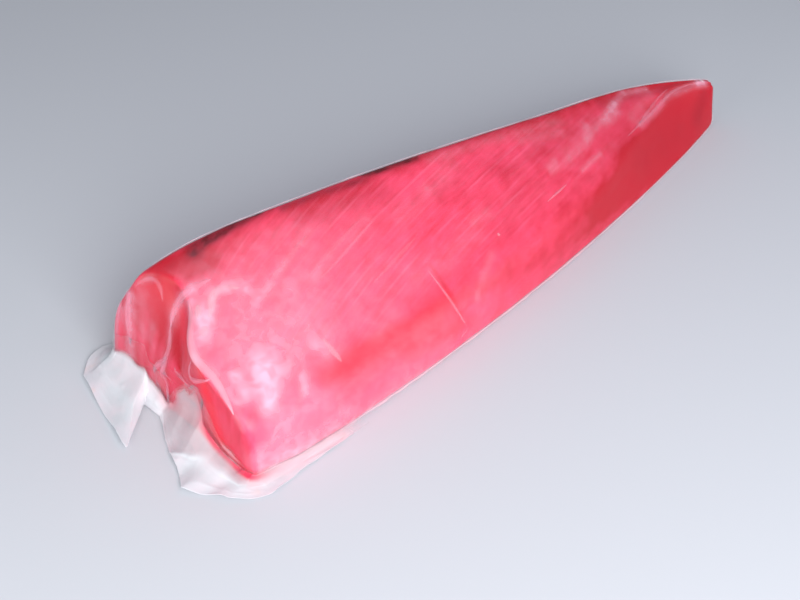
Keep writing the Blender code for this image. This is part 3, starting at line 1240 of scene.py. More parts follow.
@dataclass(frozen=True)
class Flesh:
    """The loin's flesh: the skin's form, a little inside the film, with grooves and dents."""

    skin: Skin
    view: PhotoView
    inset: float = 0.4 * MM
    groove: float = 0.15 * MM
    dent: float = 0.5 * MM
    flake_slope: float = 0.32
    flake_extra: float = 0.46
    flake_reach: float = 70.0
    flake_start: float = 40.0
    across_scale: float = 0.94
    groove_bend: float = 2.0
    groove_bend_size: float = 25.0
    groove_crest: Range = (0.4, 1.0)
    stripe_groove: float = 0.2 * MM
    stripe_size: Sizes = (1.0, 7.0 * MM, 60 * MM)
    dent_size: float = 18 * MM
    cut_rows: Range = (3.4, 4.1)
    front_columns: tuple[Range, Range] = ((1.5, 2.5), (4.4, 5.4))
    rim_columns: tuple[Range, Range] = ((8.3, 9.6), (11.0, 12.5))
    back_columns: tuple[Range, Range] = ((11.2, 11.8), (12.4, 13.2))
    pale_start: float = 0.88
    pale_drops: tuple[Sizes, ...] = ((0.2, 0.45, 0.22), (0.45, 1.0, 0.3))
    front_pale_start: float = 0.14
    front_pale_drops: tuple[Sizes, ...] = ((0.3, 0.7, 0.34), (0.7, 1.0, 0.12))
    rim_red: float = 0.4
    cut_painted_shade: float = 0.5
    pale_span: Range = (-0.5, 1.2)
    line_columns: Range = (5.2, 6.2)
    line_start: float = 0.25
    line_rise: tuple[Sizes, ...] = ((0.06, 0.18, -0.75),)
    line_tail_drop: tuple[Sizes, ...] = ((0.45, 0.8, 0.9),)
    line_ridge_drop: tuple[Sizes, ...] = ((9.0, 10.0, 0.6),)
    back_blood: float = 1.1
    back_patch: Sizes = (0.05, 0.02, 0.02)
    back_broken: Range = (-0.1, 0.5)
    cut_painted_shade_maroon: float = 0.14
    most_ruby: float = 0.9
    most_blood: float = 1.8
    blood: tuple[Stroke, ...] = each(
        Stroke,
        (((192, 249), (204, 241), (231, 225), (256, 213)), 0.0044, 2.5),
        (((366, 173), (390, 165), (414, 157)), 0.0036, 2.4),
        (((300, 218), (340, 204), (385, 189)), 0.009, 0.24),
        (((150, 275), (165, 267), (180, 261), (197, 255)), 0.005, 0.6),
        (((283, 207), (300, 201), (318, 194), (340, 187), (364, 179)), 0.0034, 0.95),
        (((600, 102), (640, 94), (690, 84)), 0.0045, 0.45),
        (((704, 98), (698, 118)), 0.008, 0.5),
        (((680, 130), (640, 165)), 0.012, 0.16),
        (((640, 115), (600, 130), (560, 155), (520, 185), (500, 220)), 0.018, 0.22),
    )
    reds_and_shade: tuple[Stroke, ...] = each(
        Stroke,
        (((545, 258), (490, 285), (450, 305)), 0.008, 0.35),
        (((705, 105), (665, 140), (632, 172)), 0.016, 1.0),
        (((632, 176), (604, 203)), 0.014, 0.55),
        (((604, 206), (566, 236)), 0.015, 0.3),
        (((400, 184), (440, 166), (480, 153), (515, 144)), 0.012, -0.3),
        (((700, 110), (672, 125)), 0.014, 0.25),
        # Painted shade on the top of the end cut
        (((160, 272), (175, 264), (190, 268), (206, 264)), 0.009, 0.75),
        (((195, 256), (216, 248), (240, 240)), 0.009, 0.25),
        (((300, 212), (350, 196)), 0.009, 0.2),
        # Painted shadow beside the crease on the main face
        (((431, 265), (441, 280), (452, 297), (462, 315)), 0.0016, 0.4),
        (((690, 85), (665, 91)), 0.008, 0.35),
        (((560, 128), (500, 148), (440, 168)), 0.012, 0.1),
        (((535, 160), (545, 150)), 0.006, 0.16),
        (((500, 175), (515, 168)), 0.006, 0.14),
        (((565, 205), (580, 196)), 0.007, 0.16),
        (((625, 150), (640, 140)), 0.007, 0.2),
        (((690, 100), (697, 112)), 0.006, 0.2),
    )
    rubies: tuple[Stroke, ...] = each(
        Stroke,
        (((446, 303), (425, 316), (395, 335), (350, 361), (328, 377)), 0.0078, 0.55),
        (((438, 307), (424, 317)), 0.006, 0.25),
        (((405, 330), (360, 355)), 0.0055, 0.25),
        (((385, 335), (350, 355), (335, 372)), 0.011, 0.15),
        (((455, 324), (425, 337), (385, 359), (352, 382)), 0.011, 0.55),
        (((436, 322), (408, 339)), 0.0065, 0.5),
        (((470, 320), (440, 343), (412, 356)), 0.007, 0.32),
        (((181, 312), (183, 330), (185, 352)), 0.006, 0.6),
        (((204, 390), (210, 412), (217, 434), (226, 454), (238, 472)), 0.0066, 0.8),
        (((198, 372),), 0.005, 0.8),
    )

    def muscle(self) -> Array:
        """Coordinates of the muscle in millimetres: across its flakes and along them.

        The flakes climb toward the ridge along the loin. Their slope is steep at the thick end
        and falls off to a lesser one as an exponential, and its integral is their drift.

        Returns:
            One vector at each grid point.
        """
        x = (self.skin.x - self.skin.x.min()) / MM
        fall = self.flake_extra * self.flake_reach * np.exp(-(x - self.flake_start) / self.flake_reach)
        across = -self.skin.run / MM - (self.flake_slope * x - fall)
        return np.stack((self.across_scale * across, x, np.zeros_like(x)), -1)

    def masks(self) -> dict[str, Array]:
        """Numbers that the material reads at each grid point.

        pale rises from deep red to pink, with painted sheen at the thick end and painted shade on the end
        cut, ruby marks bright clear red, blood the dark muscle and painted shade on the end cut, lines is how
        plainly the sheets between flakes show, and cut is one on the end cut.

        Returns:
            Values by attribute name.
        """
        skin = self.skin
        u = (skin.x - skin.x.min()) / (skin.x.max() - skin.x.min())
        column = np.broadcast_to(skin.cage_column, u.shape)
        cut = np.broadcast_to(smooth_fall(*self.cut_rows, skin.cage_row)[:, None], u.shape)
        bands = (self.front_columns, self.rim_columns, self.back_columns)
        front, rim, back = (smooth_band(*band, column) for band in bands)
        # pale falls from the thick end to the tail: the flesh's tone with painted sheen at the thick end; the
        # end cut is made deeper red as painted shade
        pale = dropped(self.pale_start, self.pale_drops, u) - self.rim_red * rim - self.cut_painted_shade * cut
        pale = pale + front * dropped(self.front_pale_start, self.front_pale_drops, u)
        pale = pale - stroke_total(self.reds_and_shade, skin, self.view)
        lines = smooth_step(*self.line_columns, column) * dropped(1.0, self.line_tail_drop, u) * (1.0 - cut)
        lines = lines * dropped(self.line_start, self.line_rise, u)
        lines = lines * dropped(1.0, self.line_ridge_drop, column)
        broken = smooth_step(*self.back_broken, lattice_noise(skin.points, self.back_patch, Seed.BACK_MUSCLE))
        blood = stroke_total(self.blood, skin, self.view)
        # On the end cut a little maroon is added as painted shade.
        blood = blood + self.back_blood * back * broken * (1.0 - cut) + self.cut_painted_shade_maroon * cut
        return {
            "pale": np.clip(pale, *self.pale_span),
            "ruby": np.clip(stroke_total(self.rubies, skin, self.view), 0.0, self.most_ruby),
            "blood": np.clip(blood, 0.0, self.most_blood),
            "lines": lines,
            "cut": cut,
        }

    def build(self, finish: RawTunaFlesh) -> Object:
        """Make the flesh: the skin moved inward by the inset, the grooves and soft dents.

        Args:
            finish: Material values.

        Returns:
            The piece.
        """
        points, normals = self.skin.points, self.skin.normals
        masks = self.masks()
        muscle = self.muscle()
        bend = self.groove_bend * lattice_noise(muscle, self.groove_bend_size, Seed.FLAKE_BEND)
        wave = np.sin(2.0 * np.pi * muscle[..., 0] / finish.line_pitch + bend)
        groove = self.groove * smooth_step(*self.groove_crest, wave) * masks["lines"]
        stripe = share_noise(points, self.stripe_size, Seed.CUT_STRIPE)
        groove = groove + self.stripe_groove * stripe * masks["cut"]
        dent = self.dent * share_noise(points, self.dent_size, Seed.DENT)
        points = points - normals * (self.inset + groove + dent)[..., None]
        mesh = closed_mesh("loin_flesh", points, masks | {"muscle": muscle})
        return add_piece(mesh, finish.make(), Node.LOIN)


@dataclass(frozen=True)
class ClingFilm:
    """The bag's tight part: a thin skin that clings to the flesh, with soft wrinkles."""

    skin: Skin
    view: PhotoView
    muscle: Array
    clear_haze: float = 0.006
    painted_sheen_haze: float = 0.16
    crest_haze_and_rim_light: float = 0.14
    milk_share: float = 0.72
    end_share: float = 0.55
    wrinkle: float = 0.22 * MM
    foot_reach: float = 9.0 * MM
    foot_ragged: float = 0.35
    foot_ragged_size: float = 9 * MM
    foot_power: float = 1.4
    near_foot_haze: float = 0.36
    near_foot_end: Range = (0.07, 0.17)
    along_foot_haze: float = 0.07
    along_foot_share: float = 0.6
    along_foot_end: Range = (0.2, 0.45)
    side_hazes: tuple[Sizes, ...] = ((0.12, 0.28, 0.11), (0.03, 0.1, 0.15))
    lip_rows: Range = (4.05, 4.5)
    front_columns: tuple[Range, Range] = ((1.6, 2.2), (4.6, 5.6))
    face_columns: tuple[Range, Range] = ((5.0, 6.0), (8.4, 9.8))
    crest_column: float = 10.1
    crest_width: float = 0.14
    cloud_size: float = 16 * MM
    wisp_size: Sizes = (6.0, 30.0, 1.0)
    wisp_width: float = 0.3
    cloud_shares: tuple[Range, Range, Range] = ((0.5, 1.0), (0.75, 0.5), (0.6, 0.8))
    foot_pale: float = 0.5
    foot_full: float = 0.5
    thick_end: Range = (0.05, 0.21)
    far_haze: float = 0.035
    far_start: Range = (0.15, 0.3)
    most_haze: float = 0.95
    calm_share: float = 0.1
    calm_end: Range = (0.12, 0.26)
    long_size: Sizes = (7.0, 60.0, 1.0)
    cross_size: float = 13 * MM
    cross_share: float = 0.4
    crest_noise: float = 0.45
    streak_height: float = 0.08 * MM
    streak_full: float = 0.6
    milk: tuple[Stroke, ...] = each(
        Stroke,
        # Hook and blob of bunched film by the end, their haze partly painted highlight from the light the
        # wrinkles catch
        (((246, 288), (234, 287), (224, 288), (216, 291), (212, 297), (211, 304), (212, 311),
          (209, 317), (204, 320)), 0.0044, 0.38),
        (((206, 328), (203, 335)), 0.0055, 0.46),
        (((197, 303), (200, 310), (199, 318)), 0.005, 0.36),
        # Lip of the main face over the cut
        (((190, 303), (190, 320), (192, 343), (197, 358), (207, 366), (217, 376), (226, 388),
          (235, 408), (243, 430)), 0.0028, 0.22),
        # Painted sheen: milky haze that stands in for the wet film's lavender highlights on the front
        # shoulder and face
        (((262, 368), (267, 388)), 0.0085, 0.56),
        (((270, 396), (266, 412)), 0.0042, 0.46),
        (((235, 376), (243, 391)), 0.0036, 0.5),
        (((246, 400), (238, 403)), 0.0027, 0.24),
        (((303, 376), (305, 391)), 0.0032, 0.32),
        (((283, 372), (292, 366)), 0.006, 0.16),
        (((240, 350), (262, 352), (290, 344)), 0.014, 0.08),
        (((318, 346), (330, 352)), 0.005, 0.2),
        (((300, 388), (278, 385), (258, 396)), 0.008, 0.08),
        (((312, 262), (289, 292)), 0.008, 0.08),
        (((396, 317), (378, 334)), 0.007, 0.1),
        (((472, 234), (447, 262), (415, 276)), 0.009, 0.08),
        (((452, 166), (427, 194), (400, 216)), 0.007, 0.08),
        (((235, 310), (270, 335), (305, 325)), 0.022, 0.1),
        # Light between the flakes
        (((308, 233), (282, 266), (262, 296)), 0.003, 0.16),
        (((366, 220), (340, 249), (314, 278)), 0.004, 0.1),
        (((269, 283), (251, 310)), 0.003, 0.14),
        (((492, 255), (483, 276), (477, 296)), 0.003, 0.12),
        # Wisps toward the tail
        (((645, 89), (636, 91), (624, 93)), 0.0028, 0.22),
        (((622, 93), (611, 109)), 0.003, 0.24),
        # Painted highlight: pale haze along the ridge's outline
        (((430, 160), (470, 147), (515, 133), (560, 121)), 0.004, 0.1),
        (((560, 132), (540, 137), (524, 141)), 0.005, 0.1),
        (((704, 83), (698, 82)), 0.0034, 0.45),
        (((611, 109), (595, 130), (579, 150), (552, 172)), 0.0028, 0.11),
        (((614, 105), (609, 113), (604, 121)), 0.0038, 0.24),
        (((618, 112), (611, 121)), 0.003, 0.14),
        (((586, 127), (586, 138)), 0.004, 0.2),
        (((600, 154), (591, 162), (582, 170)), 0.0024, 0.16),
        (((697, 84), (668, 96), (655, 111), (640, 125)), 0.0032, 0.2),
        (((555, 161), (549, 168)), 0.003, 0.16),
        (((596, 122), (570, 158)), 0.006, 0.06),
        (((487, 213), (474, 221)), 0.004, 0.1),
        (((426, 189),), 0.003, 0.12),
        (((650, 96), (632, 118)), 0.006, 0.08),
        (((270, 470), (300, 447), (345, 412)), 0.007, 0.12),
        (((249, 466), (258, 456)), 0.006, 0.2),
        (((262, 422), (259, 436)), 0.007, -0.26),
    )
    end_milk: tuple[Stroke, ...] = each(
        Stroke,
        (((128, 293), (129, 320), (131, 352)), 0.0045, 0.48),
        (((141, 296), (141, 330)), 0.008, 0.14),
        (((187, 295), (179, 306), (175, 319)), 0.005, 0.25),
        (((120, 308), (116, 336), (111, 352)), 0.0035, 0.35),
        (((136, 286), (143, 281), (151, 278)), 0.0026, 0.16),
        (((188, 291), (180, 301), (173, 316), (170, 330), (169, 343)), 0.003, 0.24),
        (((194, 286), (206, 280)), 0.003, 0.2),
        (((194, 288), (187, 293)), 0.0032, 0.4),
        (((153, 325), (153, 356)), 0.003, 0.14),
        (((143, 300), (142, 350)), 0.003, 0.1),
        (((150, 340), (150, 300)), 0.012, 0.07),
        (((110, 352), (120, 358)), 0.004, 0.3),
        (((166, 356), (163, 366), (156, 378)), 0.005, 0.18),
    )

    def hazes(self) -> tuple[Array, Array]:
        """Milky share of the film and how flushed with the flesh's pink it is.

        The haze is the sum of a little everywhere, more at the thick end as painted sheen, the streaks,
        some of them painted sheen, and a rise toward the front foot, where the film leaves the flesh.
        The flush is painted light that the red flesh sends back through the milky film.

        Returns:
            Two values at each grid point.
        """
        skin = self.skin
        x = skin.x - skin.x.min()
        height = skin.points[..., 2] - CAD_LOW[2]
        column = np.broadcast_to(skin.cage_column, x.shape)
        past_lip = smooth_step(*self.lip_rows, skin.cage_row)[:, None]
        front = smooth_band(*self.front_columns, column) * past_lip
        face_start, face_end = self.face_columns
        face = past_lip * smooth_step(*face_start, column) * smooth_fall(*face_end, column)
        streaks = self.milk_share * stroke_total(self.milk, skin, self.view)
        streaks = streaks + self.end_share * stroke_total(self.end_milk, skin, self.view)
        cloud = share_noise(skin.points, self.cloud_size, Seed.CLOUD)
        wisp = bell(lattice_noise(self.muscle, self.wisp_size, Seed.WISP), self.wisp_width)
        ragged = self.foot_ragged * lattice_noise(skin.points, self.foot_ragged_size, Seed.FOOT)
        reach = self.foot_reach * (1.0 + ragged)
        at_crest, at_end, at_side = (base + swing * cloud for base, swing in self.cloud_shares)
        # Paler band along the ridge: milky film, partly a painted rim highlight along the outline
        crest = past_lip * bell(column - self.crest_column, self.crest_width) * at_crest
        # Painted sheen: more milky haze over the main face at the thick end stands in for its broad
        # highlight.
        thick = self.painted_sheen_haze * smooth_fall(*self.thick_end, x) * face * at_end
        far = self.far_haze * wisp * cloud * smooth_step(*self.far_start, x) * face
        near_foot = np.exp(-((height / reach) ** self.foot_power)) * smooth_fall(*self.near_foot_end, x)
        along_foot = bell(height, self.along_foot_share * reach) * smooth_fall(*self.along_foot_end, x)
        foot = front * (self.near_foot_haze * near_foot + self.along_foot_haze * along_foot)
        side = front * sum(haze * smooth_fall(low, high, x) for low, high, haze in self.side_hazes)
        haze = self.clear_haze + streaks + thick + far + foot
        haze = haze + side * at_side + self.crest_haze_and_rim_light * crest
        # Flush: painted light that comes back pink from the flesh under the film, less toward the foot
        flush = 1.0 - self.foot_pale * np.clip(foot / self.foot_full, 0.0, 1.0)
        return np.clip(haze, 0.0, self.most_haze), flush

    def build(self, finish: BagFilm) -> Object:
        """Make the film: the skin raised by long soft wrinkles and by its milky streaks.

        Args:
            finish: Material values.

        Returns:
            The piece.
        """
        skin = self.skin
        haze, flush = self.hazes()
        streaks = stroke_total(self.milk + self.end_milk, skin, self.view)
        calm = self.calm_share + (1.0 - self.calm_share) * smooth_step(*self.calm_end, skin.x - skin.x.min())
        long_noise = lattice_noise(self.muscle, self.long_size, Seed.LONG_WRINKLE)
        cross_noise = lattice_noise(skin.points, self.cross_size, Seed.CROSS_WRINKLE)
        crests = bell(long_noise, self.crest_noise) + self.cross_share * bell(cross_noise, self.crest_noise)
        height = self.wrinkle * crests * calm + self.streak_height * np.clip(streaks, 0.0, self.streak_full)
        points = skin.points + skin.normals * height[..., None]
        points[..., 2] = np.maximum(points[..., 2], CAD_LOW[2])
        mesh = closed_mesh("bag_tight", points, {"haze": haze, "flush": flush})
        return add_piece(mesh, finish.make(), Node.LOIN)


@dataclass(frozen=True)
class Fold:
    """A crease of doubled film that lies on the loin, through pixels of the photograph."""

    pixels: tuple[Pixel, ...]
    width: float
    height: float
    haze: float
    # Share of painted pink light from the flesh in the fold's milky part
    flush: float = 0.9


@dataclass(frozen=True)
class Seam:
    """Welded side seam of the bag, along a column of the cage from a row of it to the tail."""

    column: float
    start: float
    height: float
    wall: float
    haze: float
    level: bool = False


@dataclass
class Ribbon:
    """Closed strip of doubled film along a path on the skin, tapered to a point at both ends."""

    points: Array
    haze: Array
    flush: float


@dataclass(frozen=True)
class FilmFolds:
    """Creases, pleats and seams of the bag, each a closed strip that follows the skin."""

    skin: Skin
    view: PhotoView
    step: float = 1.0 * MM
    corners: int = 12
    sink: float = 0.2 * MM
    bed: float = 0.1 * MM
    dense: int = 200
    least_steps: int = 6
    taper_power: float = 0.6
    haze_power: float = 1.5
    broken_size: float = 7 * MM
    broken_mean: float = 0.75
    broken_swing: float = 0.35
    most_haze: float = 0.95
    table_gap: float = 0.05 * MM
    seam_flush: float = 0.3
    seam_end: float = 8.0
    seam_steps: int = 420
    seam_taper: float = 6.0
    seam_ripples: float = 60.0
    seam_sink: float = 0.3 * MM
    seam_thin: float = 0.4
    seams: tuple[Seam, ...] = (
        Seam(10.15, 4.6, 0.9 * MM, 0.9 * MM, 0.32),
        Seam(2.35, 6.0, 1.6 * MM, 0.5 * MM, 0.42, level=True),
    )
    folds: tuple[Fold, ...] = each(
        Fold,
        # Pleat between the end cut and the main face, with its two lower branches
        (((212, 279), (204, 282), (197, 286), (190, 290), (185, 295), (180, 301), (176, 308),
          (173, 316), (171, 328)), 6.0 * MM, 0.6 * MM, 0.6, 0.9),
        (((171, 322), (170, 340), (170, 352), (171, 374), (170, 391), (168, 408)),
         5.0 * MM, 0.4 * MM, 0.46),
        (((167, 357), (161, 365), (155, 373)), 5.0 * MM, 0.3 * MM, 0.45),
        (((156, 379), (161, 392), (169, 406)), 3.6 * MM, 0.3 * MM, 0.4),
        (((184, 388), (178, 397), (171, 409)), 4.0 * MM, 0.3 * MM, 0.45),
        (((175, 366), (180, 374), (186, 382), (192, 385)), 4.0 * MM, 0.3 * MM, 0.45),
        # Lip of the main face over the end cut, and the loop under it; the lip's strong haze partly paints
        # light onto its shaded side
        (((189, 301), (190, 314), (190, 331), (191, 345), (194, 358), (201, 365), (211, 374), (219, 385),
          (227, 400), (234, 416)), 6.4 * MM, 0.5 * MM, 0.68, 0.75),
        (((191, 360), (189, 367), (189, 374), (192, 381), (203, 380), (212, 378)),
         3.6 * MM, 0.3 * MM, 0.55),
        (((176, 397), (184, 388), (196, 384)), 3.4 * MM, 0.3 * MM, 0.5),
        # Film gathered at the left outline of the end
        (((136, 286), (143, 281), (151, 278), (157, 281), (162, 290), (163, 302)),
         3.4 * MM, 0.3 * MM, 0.2),
        (((129, 292), (129, 318), (130, 334), (130, 346)), 6.0 * MM, 0.4 * MM, 0.5),
        (((122, 300), (118, 320), (116, 336)), 4.0 * MM, 0.3 * MM, 0.5),
        # Hook of bunched film on the main face, its haze partly painted highlight from the light the wrinkles
        # catch
        (((240, 288), (231, 287), (223, 288), (216, 291), (212, 297), (211, 304), (212, 311), (208, 318)),
         6.5 * MM, 0.5 * MM, 0.38, 0.4),
        (((207, 326), (203, 331), (203, 337)), 6.5 * MM, 0.4 * MM, 0.4, 0.4),
        (((197, 304), (199, 311), (197, 319)), 5.0 * MM, 0.3 * MM, 0.42, 0.4),
        # Main face
        (((427, 269), (436, 281), (446, 295), (456, 311), (467, 327)), 2.2 * MM, 0.5 * MM, 0.36),
        (((468, 328), (463, 334), (461, 338)), 2.4 * MM, 0.5 * MM, 0.3),
        (((322, 338), (332, 350), (342, 362)), 4.4 * MM, 0.3 * MM, 0.36, 0.6),
        (((360, 219), (335, 247), (308, 276)), 3.6 * MM, 0.5 * MM, 0.2),
        (((373, 221), (346, 251), (320, 280)), 3.0 * MM, 0.5 * MM, 0.15),
        (((416, 237), (391, 264), (373, 283)), 3.0 * MM, 0.5 * MM, 0.15),
        (((307, 234), (285, 262), (262, 292)), 4.0 * MM, 0.4 * MM, 0.2),
        (((497, 233), (500, 236)), 2.8 * MM, 0.3 * MM, 0.4, 0.6),
        # Crease toward the tail
        (((700, 83), (688, 85), (673, 91), (664, 100), (655, 110), (641, 123), (627, 137)),
         3.0 * MM, 0.3 * MM, 0.28),
        (((668, 89), (656, 101), (649, 110), (639, 124)), 2.6 * MM, 0.3 * MM, 0.26),
        (((567, 184), (556, 194), (547, 202)), 2.0 * MM, 0.3 * MM, 0.4),
        (((704, 82), (699, 80)), 3.6 * MM, 0.4 * MM, 0.75, 0.2),
    )

    def path(self, fold: Fold) -> tuple[Array, Array]:
        """Rows and columns of the skin under a fold's smooth centre line.

        Args:
            fold: The fold.

        Returns:
            Evenly spaced rows and columns, with fractions.
        """
        control = np.column_stack(self.view.land(fold.pixels, self.skin))
        control = np.concatenate((control[:1], control[:1], control, control[-1:], control[-1:]))
        dense = spline_at(control, np.linspace(0.0, len(control) - 3.0, self.dense), False)
        arc = arc_lengths(self.skin.sample(dense[:, 0], dense[:, 1])[0])
        even = np.linspace(0.0, arc[-1], max(self.least_steps, int(arc[-1] / self.step)))
        return np.interp(even, arc, dense[:, 0]), np.interp(even, arc, dense[:, 1])

    def lying(self, fold: Fold) -> Ribbon:
        """Strip that lies on the skin: across it the width, above it a low arch.

        Args:
            fold: The fold.

        Returns:
            The strip, its haze strongest at its crest and none at its sides.
        """
        i, j = self.path(fold)
        centre, normal = self.skin.sample(i, j)
        row_rate, column_rate = self.skin.rates(i, j, np.cross(normal, unit(np.gradient(centre, axis=0))))
        taper = np.sin(np.pi * np.linspace(0.0, 1.0, len(i))) ** self.taper_power
        taper[[0, -1]] = 0.0
        taper = taper[:, None]
        side = fold.width / 2 * np.cos(self.angle)[None] * taper
        rows = i[:, None] + row_rate[:, None] * side
        base, out = self.skin.sample(rows, j[:, None] + column_rate[:, None] * side)
        arch = np.sin(self.angle)[None]
        lift = (self.bed + np.where(arch > 0.0, fold.height, self.sink) * arch) * taper
        broken = self.broken(centre, self.broken_size, Seed.FOLD)[:, None]
        haze = fold.haze * np.clip(arch, 0.0, 1.0) ** self.haze_power * broken
        points = base + out * lift[..., None]
        return Ribbon(points[:, ::-1], haze[:, ::-1], fold.flush)

    def fin(self, seam: Seam) -> Ribbon:
        """Seam that stands on the skin as a low rippled fin.

        Args:
            seam: The seam.

        Returns:
            The closed strip.
        """
        skin = self.skin
        order = np.argsort(skin.cage_column)
        column = np.interp(seam.column, skin.cage_column[order], order)
        first, last = np.searchsorted(skin.cage_row, seam.start), len(skin.x) - self.seam_end
        rows = np.linspace(first, last, self.seam_steps)
        centre, out = skin.sample(rows, np.full(self.seam_steps, column))
        if seam.level:
            out = unit(out * (1.0, 1.0, 0.0))
        across = unit(np.cross(out, unit(np.gradient(centre, axis=0))))
        share = np.linspace(0.0, 1.0, self.seam_steps)
        taper = np.clip(np.sin(np.pi * share) * self.seam_taper, 0.0, 1.0)
        place = np.column_stack((share * self.seam_ripples, share * 0.0, share * 0.0))
        ripple = self.broken(place, 1.0, Seed.SEAM)
        rise = seam.height / 2 * (1.0 + np.sin(self.angle)) - self.seam_sink
        points = centre[:, None] + out[:, None] * (rise[None] * (taper * ripple)[:, None])[..., None]
        width = seam.wall / 2 * np.cos(self.angle)[None] * taper[:, None]
        points = points + across[:, None] * width[..., None]
        points[..., 2] = np.maximum(points[..., 2], CAD_LOW[2] + self.table_gap)
        thin = 1.0 - self.seam_thin + self.seam_thin * np.clip(ripple, 0.0, 1.0)
        haze = seam.haze * np.ones((self.seam_steps, self.corners)) * thin[:, None]
        return Ribbon(points, haze, self.seam_flush)

    @property
    def angle(self) -> Array:
        """Angles of the corners round a strip's section."""
        return np.arange(self.corners) * 2.0 * np.pi / self.corners

    def broken(self, points: Array, cell: float, seed: int) -> Array:
        """Share of the full size or haze, uneven along a strip."""
        return self.broken_mean + self.broken_swing * lattice_noise(points, cell, seed)

    def build(self, finish: BagFilm) -> Object:
        """Make all the strips as one piece.

        Args:
            finish: Material values.

        Returns:
            The piece.
        """
        points, loops, starts, hazes, flushes = [], [], [], [], []
        vertex_count = corner_count = 0
        for ribbon in [self.lying(fold) for fold in self.folds] + [self.fin(seam) for seam in self.seams]:
            corners, first = closed_grid_faces(len(ribbon.points) - 2, self.corners)
            points.append(flat_points(ribbon.points))
            hazes.append(flat_points(ribbon.haze))
            flushes.append(np.full(len(points[-1]), ribbon.flush))
            loops.append(corners + vertex_count)
            starts.append(first + corner_count)
            vertex_count += len(points[-1])
            corner_count += len(corners)
        haze = np.clip(np.concatenate(hazes), 0.0, self.most_haze)
        values = {"haze": haze, "flush": np.concatenate(flushes)}
        mesh = new_mesh("bag_folds", *(np.concatenate(part) for part in (points, loops, starts)), values)
        return add_piece(mesh, finish.make(), Node.LOIN)


@dataclass
class FilmGrid:
    """Places on the loose film, with values for each column, each row or each point.

    arc runs along the foot line and t from the top edge, 0, to the outer edge, 1. place is in the
    flat film's own frame, and past_hem is how far a point lies beyond the film's laid part.
    """

    arc: Array
    t: Array
    place: Array
    foot: Array
    outward: Array
    way: Array
    climb: Array
    reach: Array
    slip: Array
    spread: Array
    ragged: Array
    panel: Array
    past_hem: Array


